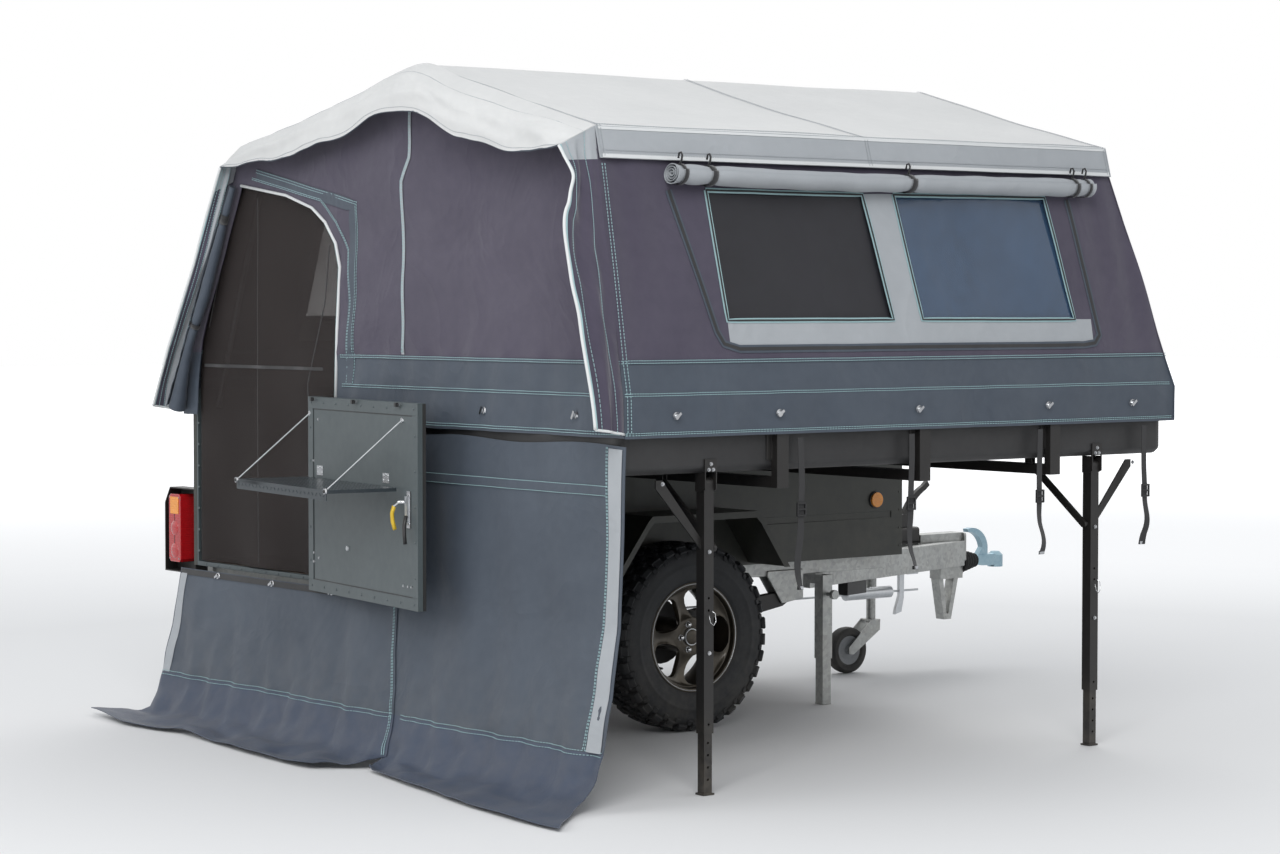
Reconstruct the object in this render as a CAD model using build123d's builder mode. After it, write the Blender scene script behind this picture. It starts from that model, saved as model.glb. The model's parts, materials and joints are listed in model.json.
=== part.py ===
from build123d import *
from math import atan2, cos, degrees, hypot, radians, sin, tan
import os

os.makedirs("parts", exist_ok=True)

# Folding camper trailer, in millimetres, standing open on level ground at Z = 0.
# X points forward to the coupling, Y to the trailer's left, Z up.
# The origin is under the middle of the opened trailer.

# Where the trailer stands in that frame
axle_x = -410.0  # centre of the axle
mid_y = 640.0  # centre line of the box

# Running gear
tyre_radius = 352.0
tyre_width = 208.0
rim_radius = 200.0
hub_gap = 0.5
axle_beam = 60.0
arm_reach = 700.0  # from the axle forward to the pivot of a trailing arm

# Box
box_rear_reach = 1235.0  # from the axle back to the rear face
box_front_reach = 1250.0  # from the axle forward to the front face
box_half = 665.0
wheel_offset = box_half + 124  # from the centre line to the middle of a tyre
panel = 25.0
floor_under = 583.0
floor_thick = 18.0
box_top = 1263.0
sill_height = 600.0
doorway_right = -280.0  # edges of the doorway, from the centre line
doorway_left = 630.0

# Lid, which opens by half a turn and becomes the bed tray
hinge_gap = 25.0  # from a side panel out to the hinge axis
hinge_z = 1270.0
lid_depth = 225.0
lid_end_lap = 15.0
lid_wall = 20.0
lid_corner = 45.0
lid_edge = 32.0

# Legs under the tray
leg_tube = 40.0
leg_inset = 25.0  # from the tray's outer side in to the leg's pivot
leg_drop = 35.0  # from the tray's underside down to the pivot
leg_split = 200.0  # height of the lower end of the outer tube
stay_reach = 270.0
stay_height = 800.0

# Rear door
door_width = 900.0
door_bottom = 562.0
door_top = 1258.0
door_thick = 28.0
door_gap = 60.0  # from the rear face of the box back to the hinge axis
door_open = 172.0
shelf_z = 965.0
shelf_depth = 258.0
shelf_thick = 12.0

# Tent section, from the centre line: right eave, ridge and left eave
ridge_y = -965.0
ridge_z = 2406.0
right_eave_y = -1936.0
right_eave_z = 2152.0
left_eave_y = 270.0
left_eave_z = 2146.0
canvas = 8.0
skin_gap = 0.3  # left between fixed pieces that would touch
knuckle_sides = 12  # flats round a rolled knuckle, an eye or a boss
rod_sides = 6
hem_z = 1167.0
roof_front = 1050.0  # from the axle

# Worked out from the driving dimensions
box_rear = axle_x - box_rear_reach
box_front = axle_x + box_front_reach
box_length = box_front - box_rear
box_centre_x = (box_front + box_rear) / 2
right_side = mid_y - box_half
left_side = mid_y + box_half
floor_top = floor_under + floor_thick
hinge_y = right_side - hinge_gap
tray_inner = hinge_y - hinge_gap
tray_outer = tray_inner - 2 * box_half
tray_under = hinge_z - lid_depth
lid_rear = box_rear - lid_end_lap
lid_front = box_front + lid_end_lap


def keep(builder, name):
    """Label a finished piece and write it."""
    builder.part.label = name
    export_step(builder.part, f"parts/{name}.step")


# Floor of the box, plywood
with BuildPart() as floor_panel:
    with BuildSketch(Plane.XY.offset(floor_under)):
        with Locations((box_centre_x, mid_y)):
            Rectangle(box_length - 2 * panel - 2, 2 * (box_half - panel) - 2)
    extrude(amount=floor_thick)
keep(floor_panel, "floor_panel")

# Side panels: folded sheet with a pressed line along the outer face
press_z = 748.0
press_depth = 4.0
press_height = 26.0
press_start = 500.0  # from the axle, in front of the wheel
with BuildPart() as side_panels:
    for side in (-1, 1):
        outer = mid_y + side * box_half
        with BuildSketch(Plane.XY.offset(floor_under)):
            with Locations((box_centre_x, outer - side * panel / 2)):
                Rectangle(box_length, panel)
        extrude(amount=box_top - floor_under)
        with BuildSketch(Plane.XZ.offset(-outer)):
            with Locations(((axle_x + press_start + box_front - 60) / 2, press_z)):
                Rectangle(box_front - 60 - axle_x - press_start, press_height)
        extrude(amount=side * press_depth, mode=Mode.SUBTRACT)
keep(side_panels, "side_panels")

# Front panel between the side panels
with BuildPart() as front_panel:
    with BuildSketch(Plane.XY.offset(floor_under)):
        with Locations((box_front - panel / 2, mid_y)):
            Rectangle(panel, 2 * (box_half - panel) - 1)
    extrude(amount=box_top - floor_under)
keep(front_panel, "front_panel")

# Rear frame: sill, both posts and the fixed panel right of the doorway
with BuildPart() as rear_frame:
    with BuildSketch(Plane.YZ.offset(box_rear)):
        with Locations((mid_y, (floor_under + box_top) / 2)):
            Rectangle(2 * (box_half - panel) - 1, box_top - floor_under)
        with Locations((mid_y + (doorway_right + doorway_left) / 2, (sill_height + box_top + 50) / 2)):
            Rectangle(doorway_left - doorway_right, box_top + 50 - sill_height, mode=Mode.SUBTRACT)
    extrude(amount=panel)
keep(rear_frame, "rear_frame")

# Chassis: two long members and four cross members below the floor, with the arm hangers
member_height = 60.0
member_width = 40.0
member_y = 560.0
hanger_x = axle_x + arm_reach
hanger_drop = 110.0
cross_members = (-1190.0, -560.0, 340.0, 940.0)  # from the axle
with BuildPart() as chassis_frame:
    with BuildSketch(Plane.XY.offset(floor_under - member_height)):
        with Locations((box_centre_x, mid_y - member_y), (box_centre_x, mid_y + member_y)):
            Rectangle(box_length - 20, member_width)
        with Locations(*[(axle_x + reach, mid_y) for reach in cross_members]):
            Rectangle(member_width, 2 * member_y)
    extrude(amount=member_height)
    for side in (-1, 1):
        for cheek in (-1, 1):
            with BuildSketch(Plane.XZ.offset(-(mid_y + side * member_y + cheek * member_width / 2))):
                with BuildLine():
                    Polyline(
                        (hanger_x - 95, floor_under - member_height + 20),
                        (hanger_x + 90, floor_under - member_height + 20),
                        (hanger_x + 90, floor_under - member_height - 95),
                        (hanger_x - 20, floor_under - member_height - hanger_drop),
                        (hanger_x - 95, floor_under - member_height),
                        close=True,
                    )
                make_face()
            extrude(amount=-10 * cheek)
keep(chassis_frame, "chassis_frame")

# Axle: square beam on two trailing arms, with stub ends, drums and coil spring seats
arm_width = 38.0
arm_pivot_z = 430.0
drum_radius = 118.0
drum_width = 70.0
drum_inner = box_half - 55
with BuildPart() as axle_beam_arms:
    with Locations((axle_x, mid_y, tyre_radius)):
        Box(axle_beam, 2 * drum_inner, axle_beam)
    for side in (-1, 1):
        with BuildSketch(Plane.XZ.offset(-(mid_y + side * member_y - arm_width / 2))):
            with BuildLine():
                Polyline(
                    (axle_x - 60, tyre_radius - 40),
                    (axle_x + 120, tyre_radius - 46),
                    (hanger_x - 10, arm_pivot_z - 28),
                    (hanger_x + 26, arm_pivot_z - 8),
                    (hanger_x + 26, arm_pivot_z + 20),
                    (hanger_x - 10, arm_pivot_z + 28),
                    (axle_x + 130, tyre_radius + 50),
                    (axle_x - 60, tyre_radius + 40),
                    close=True,
                )
            make_face()
        extrude(amount=-arm_width)
        with BuildSketch(Plane.XZ.offset(-(mid_y + side * drum_inner))):
            with Locations((axle_x, tyre_radius)):
                RegularPolygon(drum_radius, 2 * knuckle_sides)
        extrude(amount=-side * drum_width)
keep(axle_beam_arms, "axle_beam_arms")

# Coil springs with a damper inside, between each arm and the chassis
spring_x = axle_x + 110.0
spring_seat = tyre_radius + 51.0
with BuildPart() as springs:
    for side in (-1, 1):
        with BuildSketch(Plane.XY.offset(spring_seat + 0.3)):
            with Locations((spring_x, mid_y + side * member_y)):
                RegularPolygon(26, knuckle_sides)
        extrude(amount=floor_under - member_height - spring_seat - 0.6)
keep(springs, "springs")

# Fenders: angular sheet arches over the wheels, with a lip on the outer edge
fender_sheet = 6.0
fender_lip = 26.0
fender_outer = box_half + 238  # from the centre line
fender_line = ((-445, 512), (-236, 790), (-214, 812), (290, 812), (312, 790), (452, 592))  # from the axle, height
with BuildPart() as fenders:
    for side in (-1, 1):
        with BuildSketch(Plane.XZ.offset(-(mid_y + side * (box_half + 0.3)))):
            with BuildLine():
                arch = [(axle_x + reach, height) for reach, height in fender_line]
                Polyline(*arch, (arch[-1][0] - 8, arch[-1][1]), *[
                    (x + 1.0 * (1 if x < axle_x else -1), z - fender_sheet) for x, z in reversed(arch[1:-1])
                ], (arch[0][0] + 8, arch[0][1]), close=True)
            make_face()
        extrude(amount=-side * (fender_outer - box_half - 0.3))
        with BuildSketch(Plane.XZ.offset(-(mid_y + side * fender_outer))):
            with BuildLine():
                Polyline(*arch, (arch[-1][0] - 30, arch[-1][1]), *[
                    (x + 6.0 * (1 if x < axle_x else -1), z - fender_lip) for x, z in reversed(arch[1:-1])
                ], (arch[0][0] + 30, arch[0][1]), close=True)
            make_face()
        extrude(amount=side * 4)
keep(fenders, "fenders")

# Closed solid of flats through rings of corners, each ring given by its radius and its place along the axis
def ring_solid(plane, rings, sides, turn=0.0, closed=False):
    corners = []
    for radius, away in rings:
        angles = [radians(turn + 360 * k / sides) for k in range(sides)]
        corners.append([plane.from_local_coords((radius * cos(a), radius * sin(a), away)) for a in angles])
    pairs = list(zip(corners, corners[1:]))
    faces = []
    if closed:
        pairs.append((corners[-1], corners[0]))
    else:
        faces = [Face(Wire.make_polygon(ring)) for ring in (corners[0], corners[-1])]
    for low, high in pairs:
        for k in range(sides):
            faces.append(Face(Wire.make_polygon([low[k - 1], low[k], high[k], high[k - 1]])))
    return Solid(Shell(faces))


# Wheels: tyre with its tread blocks and five-spoke rim, on a short hub that stands off the drum
wheel_sides = 28  # flats round a tyre, one tread pitch each
tread_depth = 10.0
lug_top = 351.0  # height of a block's face above the axle
hub_radius = 62.0
cap_radius = 30.0
spoke_count = 5
rim_wall = 12.0
rim_half = 92.0
nut_circle = 49.0
tyre_profile = ((198.0, 82.0), (240.0, 101.0), (296.0, 104.0), (326.0, 96.0), (tyre_radius - tread_depth, 72.0))
tread_rows = ((-94.0, 46.0, 0.0), (-42.0, 36.0, 0.5), (6.0, 36.0, 0.0), (48.0, 46.0, 0.5))
# columns: start across the tread, width, share of a pitch

# Rings of flats about an axle: radius, distance from the middle
tyre_rings = [(r, -y) for r, y in tyre_profile] + [(r, y) for r, y in reversed(tyre_profile)]
barrel = rim_radius - rim_wall
barrel_rings = ((barrel - 4, -rim_half), (barrel - 22, -40), (barrel - 22, 40), (barrel - 4, rim_half))
for name, side in (("right", -1), ("left", 1)):
    wheel = (axle_x, mid_y + side * wheel_offset, tyre_radius)
    wheel_plane = Plane(origin=wheel, x_dir=(1, 0, 0), z_dir=(0, -side, 0))
    with BuildPart() as tyre:
        add(ring_solid(wheel_plane, tyre_rings, wheel_sides, closed=True))
        for start, width, share in tread_rows:
            with BuildSketch(wheel_plane.offset(start + width)):
                with PolarLocations(lug_top - 14, wheel_sides, 180 / wheel_sides + share * 360 / wheel_sides):
                    Rectangle(28, 52)
            extrude(amount=-width)
    keep(tyre, f"tyre_{name}")

    with BuildPart() as rim:
        with BuildSketch(wheel_plane.offset(-rim_half)):
            RegularPolygon(rim_radius - 3, wheel_sides)
        extrude(amount=2 * rim_half)
        add(ring_solid(wheel_plane, barrel_rings, wheel_sides), mode=Mode.SUBTRACT)
        with BuildSketch(wheel_plane.offset(-44)):
            RegularPolygon(hub_radius, 20)
            with PolarLocations(0, spoke_count, 90):
                Polygon((40, -26), (120, -19), (barrel - 10, -30), (barrel - 10, 30), (120, 19), (40, 26), align=None)
        extrude(amount=-26)
        with BuildSketch(wheel_plane.offset(-56)):
            with PolarLocations(0, spoke_count, 90):
                Polygon((74, -9), (barrel - 30, -15), (barrel - 30, 15), (74, 9), align=None)
        extrude(amount=-20, mode=Mode.SUBTRACT)
        with BuildSketch(wheel_plane.offset(-70)):
            with PolarLocations(nut_circle, spoke_count, 54):
                RegularPolygon(10, 6)
        extrude(amount=-10)
        with BuildSketch(wheel_plane.offset(-70)):
            RegularPolygon(cap_radius, 12)
        extrude(amount=-8)
        with BuildSketch(wheel_plane.offset(wheel_offset - drum_inner - drum_width - hub_gap)):
            Circle(hub_radius)
        extrude(amount=-(wheel_offset + 44 - drum_inner - drum_width - hub_gap))
    keep(rim, f"rim_{name}")

# Drawbar: two arms that meet at the overrun housing, with a cross plate
arm_low = 445.0
arm_high = 555.0
arm_thick = 50.0
nose_x = axle_x + box_front_reach + 940.0
nose_half = 58.0
arm_angle = 17.0
arm_rear_x = axle_x + cross_members[-1] + member_width / 2
arm_rear_half = nose_half + (nose_x - arm_rear_x) * tan(radians(arm_angle))
with BuildPart() as drawbar:
    with BuildSketch(Plane.XY.offset(arm_low)):
        for side in (-1, 1):
            with BuildLine():
                Polyline(
                    (nose_x, mid_y + side * nose_half),
                    (arm_rear_x, mid_y + side * arm_rear_half),
                    (arm_rear_x, mid_y + side * (arm_rear_half - arm_thick)),
                    (nose_x, mid_y + side * (nose_half - arm_thick)),
                    close=True,
                )
            make_face()
        with Locations((nose_x - 130, mid_y)):
            Rectangle(260, 2 * nose_half - 40)
        with Locations((axle_x + 1300, mid_y)):
            Rectangle(60, 2 * (nose_half + (nose_x - axle_x - 1300) * tan(radians(arm_angle))) - 30)
    extrude(amount=arm_high - arm_low)
    with BuildSketch(Plane.XY.offset(arm_high)):
        for side in (-1, 1):
            pad_x = box_front - 70
            pad_y = nose_half + (nose_x - pad_x) * tan(radians(arm_angle)) - arm_thick / 2
            with Locations((pad_x, mid_y + side * pad_y)):
                Rectangle(120, arm_thick)
    extrude(amount=floor_under - arm_high)
keep(drawbar, "drawbar")

# Overrun housing on the drawbar's nose, with the black rear cover and the front skid below
housing_low = 462.0
housing_high = 590.0
cover_rear = nose_x - 570.0
cover_front = nose_x - 260.0
skid_low = 212.0
with BuildPart() as overrun_housing:
    with BuildSketch(Plane.XY.offset(arm_high)):
        with Locations((nose_x - 125, mid_y)):
            Rectangle(250, 84)
    extrude(amount=housing_high - arm_high)
    with BuildSketch(Plane.YZ.offset(nose_x)):
        with Locations((mid_y, (housing_low + housing_high) / 2)):
            RectangleRounded(110, housing_high - housing_low, 12)
    extrude(amount=12)
    with BuildSketch(Plane.YZ.offset(nose_x + 12)):
        with Locations((mid_y, housing_low - 26)):
            Rectangle(70, 56)
    extrude(amount=-8)
    with BuildSketch(Plane.XY.offset(arm_low - 55)):
        with Locations((nose_x - 56, mid_y)):
            Rectangle(132, 70)
    extrude(amount=55 - skin_gap)
    with BuildSketch(Plane.XZ.offset(-(mid_y - 25))):
        with BuildLine():
            Polyline(
                (nose_x - 124, arm_low - 54), (nose_x - 98, arm_low - 54), (nose_x - 76, skid_low + 24),
                (nose_x - 66, skid_low + 24), (nose_x - 34, arm_low - 54), (nose_x - 8, arm_low - 54),
                (nose_x - 50, skid_low), (nose_x - 92, skid_low), close=True,
            )
        make_face()
    extrude(amount=-50)
keep(overrun_housing, "overrun_housing")

with BuildPart() as drawbar_cover:
    with BuildSketch(Plane.YZ.offset(cover_rear)):
        with Locations((mid_y, arm_high + 36)):
            RectangleRounded(96, 72, 14)
    extrude(amount=cover_front - cover_rear)
keep(drawbar_cover, "drawbar_cover")

# Bellows: a gaiter of flats between the housing and the coupling head
bellows_front = nose_x + 12 + 100.0
coupling_z = 460.0
bellows_folds = 5
bellows_sides = 20
bellows_start = nose_x + 12.3
bellows_pitch = (bellows_front - 0.3 - bellows_start) / bellows_folds
bellows_rings = [
    (56 - 5 * (step // 2) - 9 * (1 - step % 2), bellows_start + step / 2 * bellows_pitch) for step in range(2 * bellows_folds)
]
with BuildPart() as bellows:
    add(ring_solid(Plane(origin=(0, mid_y, coupling_z), x_dir=(0, 1, 0), z_dir=(1, 0, 0)),
                   bellows_rings + [(26, bellows_front - 0.3)], bellows_sides))
keep(bellows, "bellows")

# Coupling head: cast neck, ball cup open underneath, and the locking lever
cup_radius = 34.0
ball_radius = 25.4
cup_x = nose_x + 242.0
coupling_tip = cup_x + cup_radius
with BuildPart() as coupling_head:
    add(ring_solid(Plane(origin=(0, mid_y, coupling_z), x_dir=(0, 1, 0), z_dir=(1, 0, 0)),
                   ((28.3, bellows_front), (33.5, bellows_front + 30), (36, cup_x - 16)), 4, turn=45))
    with BuildSketch(Plane.XY.offset(coupling_z - 34)):
        with Locations((cup_x, mid_y)):
            RegularPolygon(cup_radius, 24)
    extrude(amount=52)
    add(ring_solid(Plane(origin=(cup_x, mid_y, coupling_z)), ((cup_radius, 18), (cup_radius * 0.55, 34)), 24))
    with BuildSketch(Plane.XY.offset(coupling_z - 34)):
        with Locations((cup_x, mid_y)):
            Circle(ball_radius)
    extrude(amount=30, mode=Mode.SUBTRACT)
    with BuildSketch(Plane.XZ.offset(-(mid_y + 15))):
        with BuildLine():
            lever_base = bellows_front + 8
            Polyline(
                (lever_base, coupling_z + 18), (lever_base + 62, coupling_z + 18), (lever_base + 62, coupling_z + 60),
            )
            ThreePointArc(
                (lever_base + 62, coupling_z + 60), (lever_base + 28, coupling_z + 122), (lever_base - 40, coupling_z + 144),
            )
            Polyline(
                (lever_base - 40, coupling_z + 144), (lever_base - 62, coupling_z + 140), (lever_base - 58, coupling_z + 126),
            )
            ThreePointArc(
                (lever_base - 58, coupling_z + 126), (lever_base + 4, coupling_z + 104), (lever_base + 30, coupling_z + 56),
            )
            Line((lever_base + 30, coupling_z + 56), (lever_base, coupling_z + 18))
        make_face()
    extrude(amount=30)
keep(coupling_head, "coupling_head")

# Handbrake lever: base block, bent shank and grip
brake_x = nose_x - 328.0
brake_y = mid_y - 12.0
with BuildPart() as handbrake:
    cover_high = arm_high + 72
    with BuildSketch(Plane.XZ.offset(-(brake_y - 18))):
        with BuildLine():
            Polyline(
                (brake_x - 34, cover_high + 46), (brake_x - 34, cover_high + 0.3), (brake_x + 34, cover_high + 0.3),
                (brake_x + 34, cover_high + 30),
            )
            ThreePointArc(
                (brake_x + 34, cover_high + 30), (brake_x + 8, cover_high + 54), (brake_x - 34, cover_high + 46),
            )
        make_face()
    extrude(amount=-36)
    with BuildSketch(Plane.XZ.offset(-(brake_y - 11))):
        with BuildLine():
            ThreePointArc(
                (brake_x - 12, cover_high + 40), (brake_x + 30, cover_high + 112), (brake_x + 112, cover_high + 176),
            )
            Polyline(
                (brake_x + 112, cover_high + 176), (brake_x + 136, cover_high + 196), (brake_x + 150, cover_high + 176),
                (brake_x + 126, cover_high + 156),
            )
            ThreePointArc(
                (brake_x + 126, cover_high + 156), (brake_x + 54, cover_high + 96), (brake_x + 22, cover_high + 36),
            )
            Line((brake_x + 22, cover_high + 36), (brake_x - 12, cover_high + 40))
        make_face()
    extrude(amount=-22)
keep(handbrake, "handbrake")

# Brake linkage below the drawbar: spring cylinder, rods and the relay lever
rod_y = mid_y - 60.0
cylinder_z = 358.0
relay_x = nose_x - 383.0
with BuildPart() as brake_linkage:
    with BuildSketch(Plane.YZ.offset(nose_x - 705)):
        with Locations((rod_y, cylinder_z)):
            RegularPolygon(25, knuckle_sides)
    extrude(amount=258)
    with BuildSketch(Plane.YZ.offset(axle_x + 60)):
        with Locations((rod_y, cylinder_z)):
            RegularPolygon(5, rod_sides)
    extrude(amount=1847)
    with BuildSketch(Plane.XZ.offset(-(rod_y - 8))):
        with BuildLine():
            Polyline(
                (relay_x - 14, arm_low - 0.3), (relay_x + 14, arm_low - 0.3), (relay_x + 12, cylinder_z - 30),
                (relay_x - 2, 268), (relay_x - 40, 258), (relay_x - 36, 280), (relay_x - 14, cylinder_z - 20),
                close=True,
            )
        make_face()
    extrude(amount=-16)
    with BuildSketch(Plane.XY.offset(arm_low - 0.3)):
        with Locations((relay_x, rod_y - 24)):
            Rectangle(60, 108)
    extrude(amount=-10)
keep(brake_linkage, "brake_linkage")

# Jockey: clamp on the left arm and outer tube, swivelling fork, and wheel
jockey_x = nose_x - 410.0
jockey_y = mid_y + 100.0
jockey_tube = 24.0
jockey_top = 700.0
jockey_low = 330.0
jockey_wheel_radius = 100.0
jockey_trail = 142.0
jockey_tyre = 56.0
fork_gap = 4.0
with BuildPart() as jockey_clamp:
    with BuildSketch(Plane.XY.offset(jockey_low)):
        with Locations((jockey_x, jockey_y)):
            Circle(jockey_tube)
    extrude(amount=jockey_top - jockey_low)
    with BuildSketch(Plane.XY.offset(arm_low + 20)):
        with BuildLine():
            seat = [(x, mid_y + nose_half + (nose_x - x) * tan(radians(arm_angle)) - arm_thick - 0.3)
                    for x in (jockey_x - 29, jockey_x + 29)]
            Polyline((jockey_x - 29, jockey_y), *seat, (jockey_x + 29, jockey_y), close=True)
        make_face()
    extrude(amount=70)
    with BuildSketch(Plane.XZ.offset(-(jockey_y - 8))):
        with Locations((jockey_x - 60, jockey_top - 8)):
            Rectangle(150, 14)
        with Locations((jockey_x - 128, jockey_top + 32)):
            Rectangle(22, 90)
    extrude(amount=-16)
keep(jockey_clamp, "jockey_clamp")

with BuildPart() as jockey_fork:
    with BuildSketch(Plane.XY.offset(jockey_low - 120)):
        with Locations((jockey_x, jockey_y)):
            Circle(jockey_tube - 4)
    extrude(amount=120 - skin_gap)
    for cheek in (-1, 1):
        with BuildSketch(Plane.XZ.offset(-(jockey_y + cheek * (jockey_tyre / 2 + fork_gap)))):
            with BuildLine():
                Polyline(
                    (jockey_x - 26, jockey_low - 104), (jockey_x + 22, jockey_low - 104),
                    (jockey_x + 20, jockey_low - 150), (jockey_x - jockey_trail + 10, jockey_wheel_radius - 18),
                    (jockey_x - jockey_trail - 16, jockey_wheel_radius - 14),
                    (jockey_x - jockey_trail - 16, jockey_wheel_radius + 14), close=True,
                )
            make_face()
        extrude(amount=-cheek * 5)
    with BuildSketch(Plane.XY.offset(jockey_low - 112)):
        with Locations((jockey_x - 2, jockey_y)):
            Rectangle(48, jockey_tyre + 2 * fork_gap + 10)
    extrude(amount=8)
    for cheek in (-1, 1):
        with BuildSketch(Plane.XZ.offset(-(jockey_y + cheek * (jockey_tyre / 2 + fork_gap + 5)))):
            with Locations((jockey_x - jockey_trail, jockey_wheel_radius)):
                Circle(9)
        extrude(amount=cheek * (fork_gap + 5 + 6))
keep(jockey_fork, "jockey_fork")

jockey_sides = 16
jockey_rings = ((jockey_wheel_radius - 8, -26), (jockey_wheel_radius, -14), (jockey_wheel_radius, 14),
                (jockey_wheel_radius - 8, 26))
roller_plane = Plane(origin=(jockey_x - jockey_trail, jockey_y, jockey_wheel_radius), x_dir=(1, 0, 0), z_dir=(0, -1, 0))
with BuildPart() as jockey_wheel:
    add(ring_solid(roller_plane, jockey_rings, jockey_sides))
    for cheek in (-1, 1):
        dish = ((70.0, cheek * 30.0), (64.0, cheek * 10.0))
        add(ring_solid(roller_plane, dish, jockey_sides), mode=Mode.SUBTRACT)
        with BuildSketch(roller_plane.offset(cheek * 8)):
            RegularPolygon(22, 12)
        extrude(amount=cheek * (jockey_tyre / 2 - 8))
    with BuildSketch(roller_plane.offset(-30)):
        Circle(9.5)
    extrude(amount=60, mode=Mode.SUBTRACT)
keep(jockey_wheel, "jockey_wheel")

# Front steadies: a square cross tube under the chassis, and a sleeve at each end that guides a leg
steady_x = axle_x + 895.0
steady_y = 590.0  # from the centre line
sleeve_size = 50.0
sleeve_wall = 3.0
sleeve_low = 182.0
sleeve_high = floor_under - member_height - 8
steady_tube = 43.4
steady_top = 300.0
with BuildPart() as steady_sleeves:
    with Locations((steady_x, mid_y, floor_under - member_height - skin_gap - 22)):
        Box(44, 2 * (steady_y - sleeve_size / 2) + 2, 44)
    for side in (-1, 1):
        with BuildSketch(Plane.XY.offset(sleeve_low)):
            with Locations((steady_x, mid_y + side * steady_y)):
                Rectangle(sleeve_size, sleeve_size)
                Rectangle(sleeve_size - 2 * sleeve_wall, sleeve_size - 2 * sleeve_wall, mode=Mode.SUBTRACT)
        extrude(amount=sleeve_high - sleeve_low)
        with BuildSketch(Plane.XZ.offset(-(mid_y + side * (steady_y + sleeve_size / 2)))):
            with Locations((steady_x, 440)):
                RegularPolygon(8, rod_sides)
        extrude(amount=-side * 30)
        with BuildSketch(Plane.XZ.offset(-(mid_y + side * (steady_y + sleeve_size / 2 + 30)))):
            with Locations((steady_x, 440)):
                RegularPolygon(19, 10)
        extrude(amount=-side * 18)
keep(steady_sleeves, "steady_sleeves")
for name, side in (("steady_leg_right", -1), ("steady_leg_left", 1)):
    with BuildPart() as steady_leg:
        with BuildSketch(Plane.XY.offset(6)):
            with Locations((steady_x, mid_y + side * steady_y)):
                Rectangle(steady_tube, steady_tube)
        extrude(amount=steady_top - 6)
        with BuildSketch():
            with Locations((steady_x, mid_y + side * steady_y)):
                Rectangle(steady_tube + 2.6, steady_tube + 2.6)
        extrude(amount=6)
    keep(steady_leg, name)

# Tail lamps: chamfered sheet housings outboard of the rear corners, with lenses
lamp_width = 238.0
lamp_low = 545.0
lamp_high = 875.0
lamp_depth = 56.0
lens_width = 92.0
lens_low = 585.0
lens_high = 850.0
with BuildPart() as tail_brackets:
    for side in (-1, 1):
        inner = mid_y + side * (box_half + 0.3)
        outer = inner + side * lamp_width
        with BuildSketch(Plane.YZ.offset(box_rear + 6)):
            with BuildLine():
                Polyline((inner, lamp_low), (outer, lamp_low), (outer, lamp_high - 62),
                         (outer - side * 40, lamp_high), (inner, lamp_high), close=True)
            make_face()
            offset(amount=-5, mode=Mode.SUBTRACT)
        extrude(amount=lamp_depth)
        with BuildSketch(Plane.YZ.offset(box_rear + 6 + lamp_depth)):
            with BuildLine():
                Polyline((inner, lamp_low), (outer, lamp_low), (outer, lamp_high - 62),
                         (outer - side * 40, lamp_high), (inner, lamp_high), close=True)
            make_face()
        extrude(amount=5)
keep(tail_brackets, "tail_brackets")
with BuildPart() as tail_lenses:
    for side in (-1, 1):
        lens_y = mid_y + side * (box_half + lamp_width / 2 + 20)
        with BuildSketch(Plane.YZ.offset(box_rear + 6 + lamp_depth - 0.3)):
            with Locations((lens_y, (lens_low + lens_high) / 2)):
                lens_face = Rectangle(lens_width, lens_high - lens_low)
            chamfer(lens_face.vertices(), length=12)
        extrude(amount=-lamp_depth - 12)
keep(tail_lenses, "tail_lenses")

# Side marker lamps
with BuildPart() as marker_lamps:
    for side in (-1, 1):
        with BuildSketch(Plane.XZ.offset(-(mid_y + side * (box_half + 0.3)))):
            with Locations((axle_x + 1104, 809)):
                RegularPolygon(30, 20)
        extrude(amount=-side * 14)
keep(marker_lamps, "marker_lamps")

# Lid, opened by half a turn: a pressed tray with rounded corners and its three hinge leaves
lid_x = (lid_rear + lid_front) / 2
lid_length = lid_front - lid_rear
tray_mid = (tray_inner + tray_outer) / 2
knuckle = 10.0
hinge_pin = 4.0
pin_clear = 0.3
hinge_half = 22.0
hinge_places = (-950.0, 0.0, 950.0)  # from the lid's middle
with BuildPart() as lid_tray:
    with BuildSketch(Plane.XY.offset(tray_under)):
        with Locations((lid_x, tray_mid)):
            RectangleRounded(lid_length, 2 * box_half, lid_corner)
    extrude(amount=lid_depth)
    chamfer(lid_tray.faces().sort_by(Axis.Z)[0].edges(), length=lid_edge * 0.6)
    with BuildSketch(Plane.XY.offset(tray_under + lid_wall)):
        with Locations((lid_x, tray_mid)):
            RectangleRounded(lid_length - 2 * lid_wall, 2 * box_half - 2 * lid_wall, lid_corner - lid_wall)
    extrude(amount=lid_depth - lid_wall, mode=Mode.SUBTRACT)
    for place in hinge_places:
        with BuildSketch(Plane.YZ.offset(lid_x + place - hinge_half)):
            with Locations(((tray_inner + hinge_y) / 2 - 3, hinge_z - 2)):
                Rectangle(hinge_gap + 2, 4)
            with Locations((hinge_y, hinge_z)):
                RegularPolygon(knuckle, knuckle_sides)
                Circle(hinge_pin + pin_clear, mode=Mode.SUBTRACT)
        extrude(amount=2 * hinge_half)
keep(lid_tray, "lid_tray")

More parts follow.
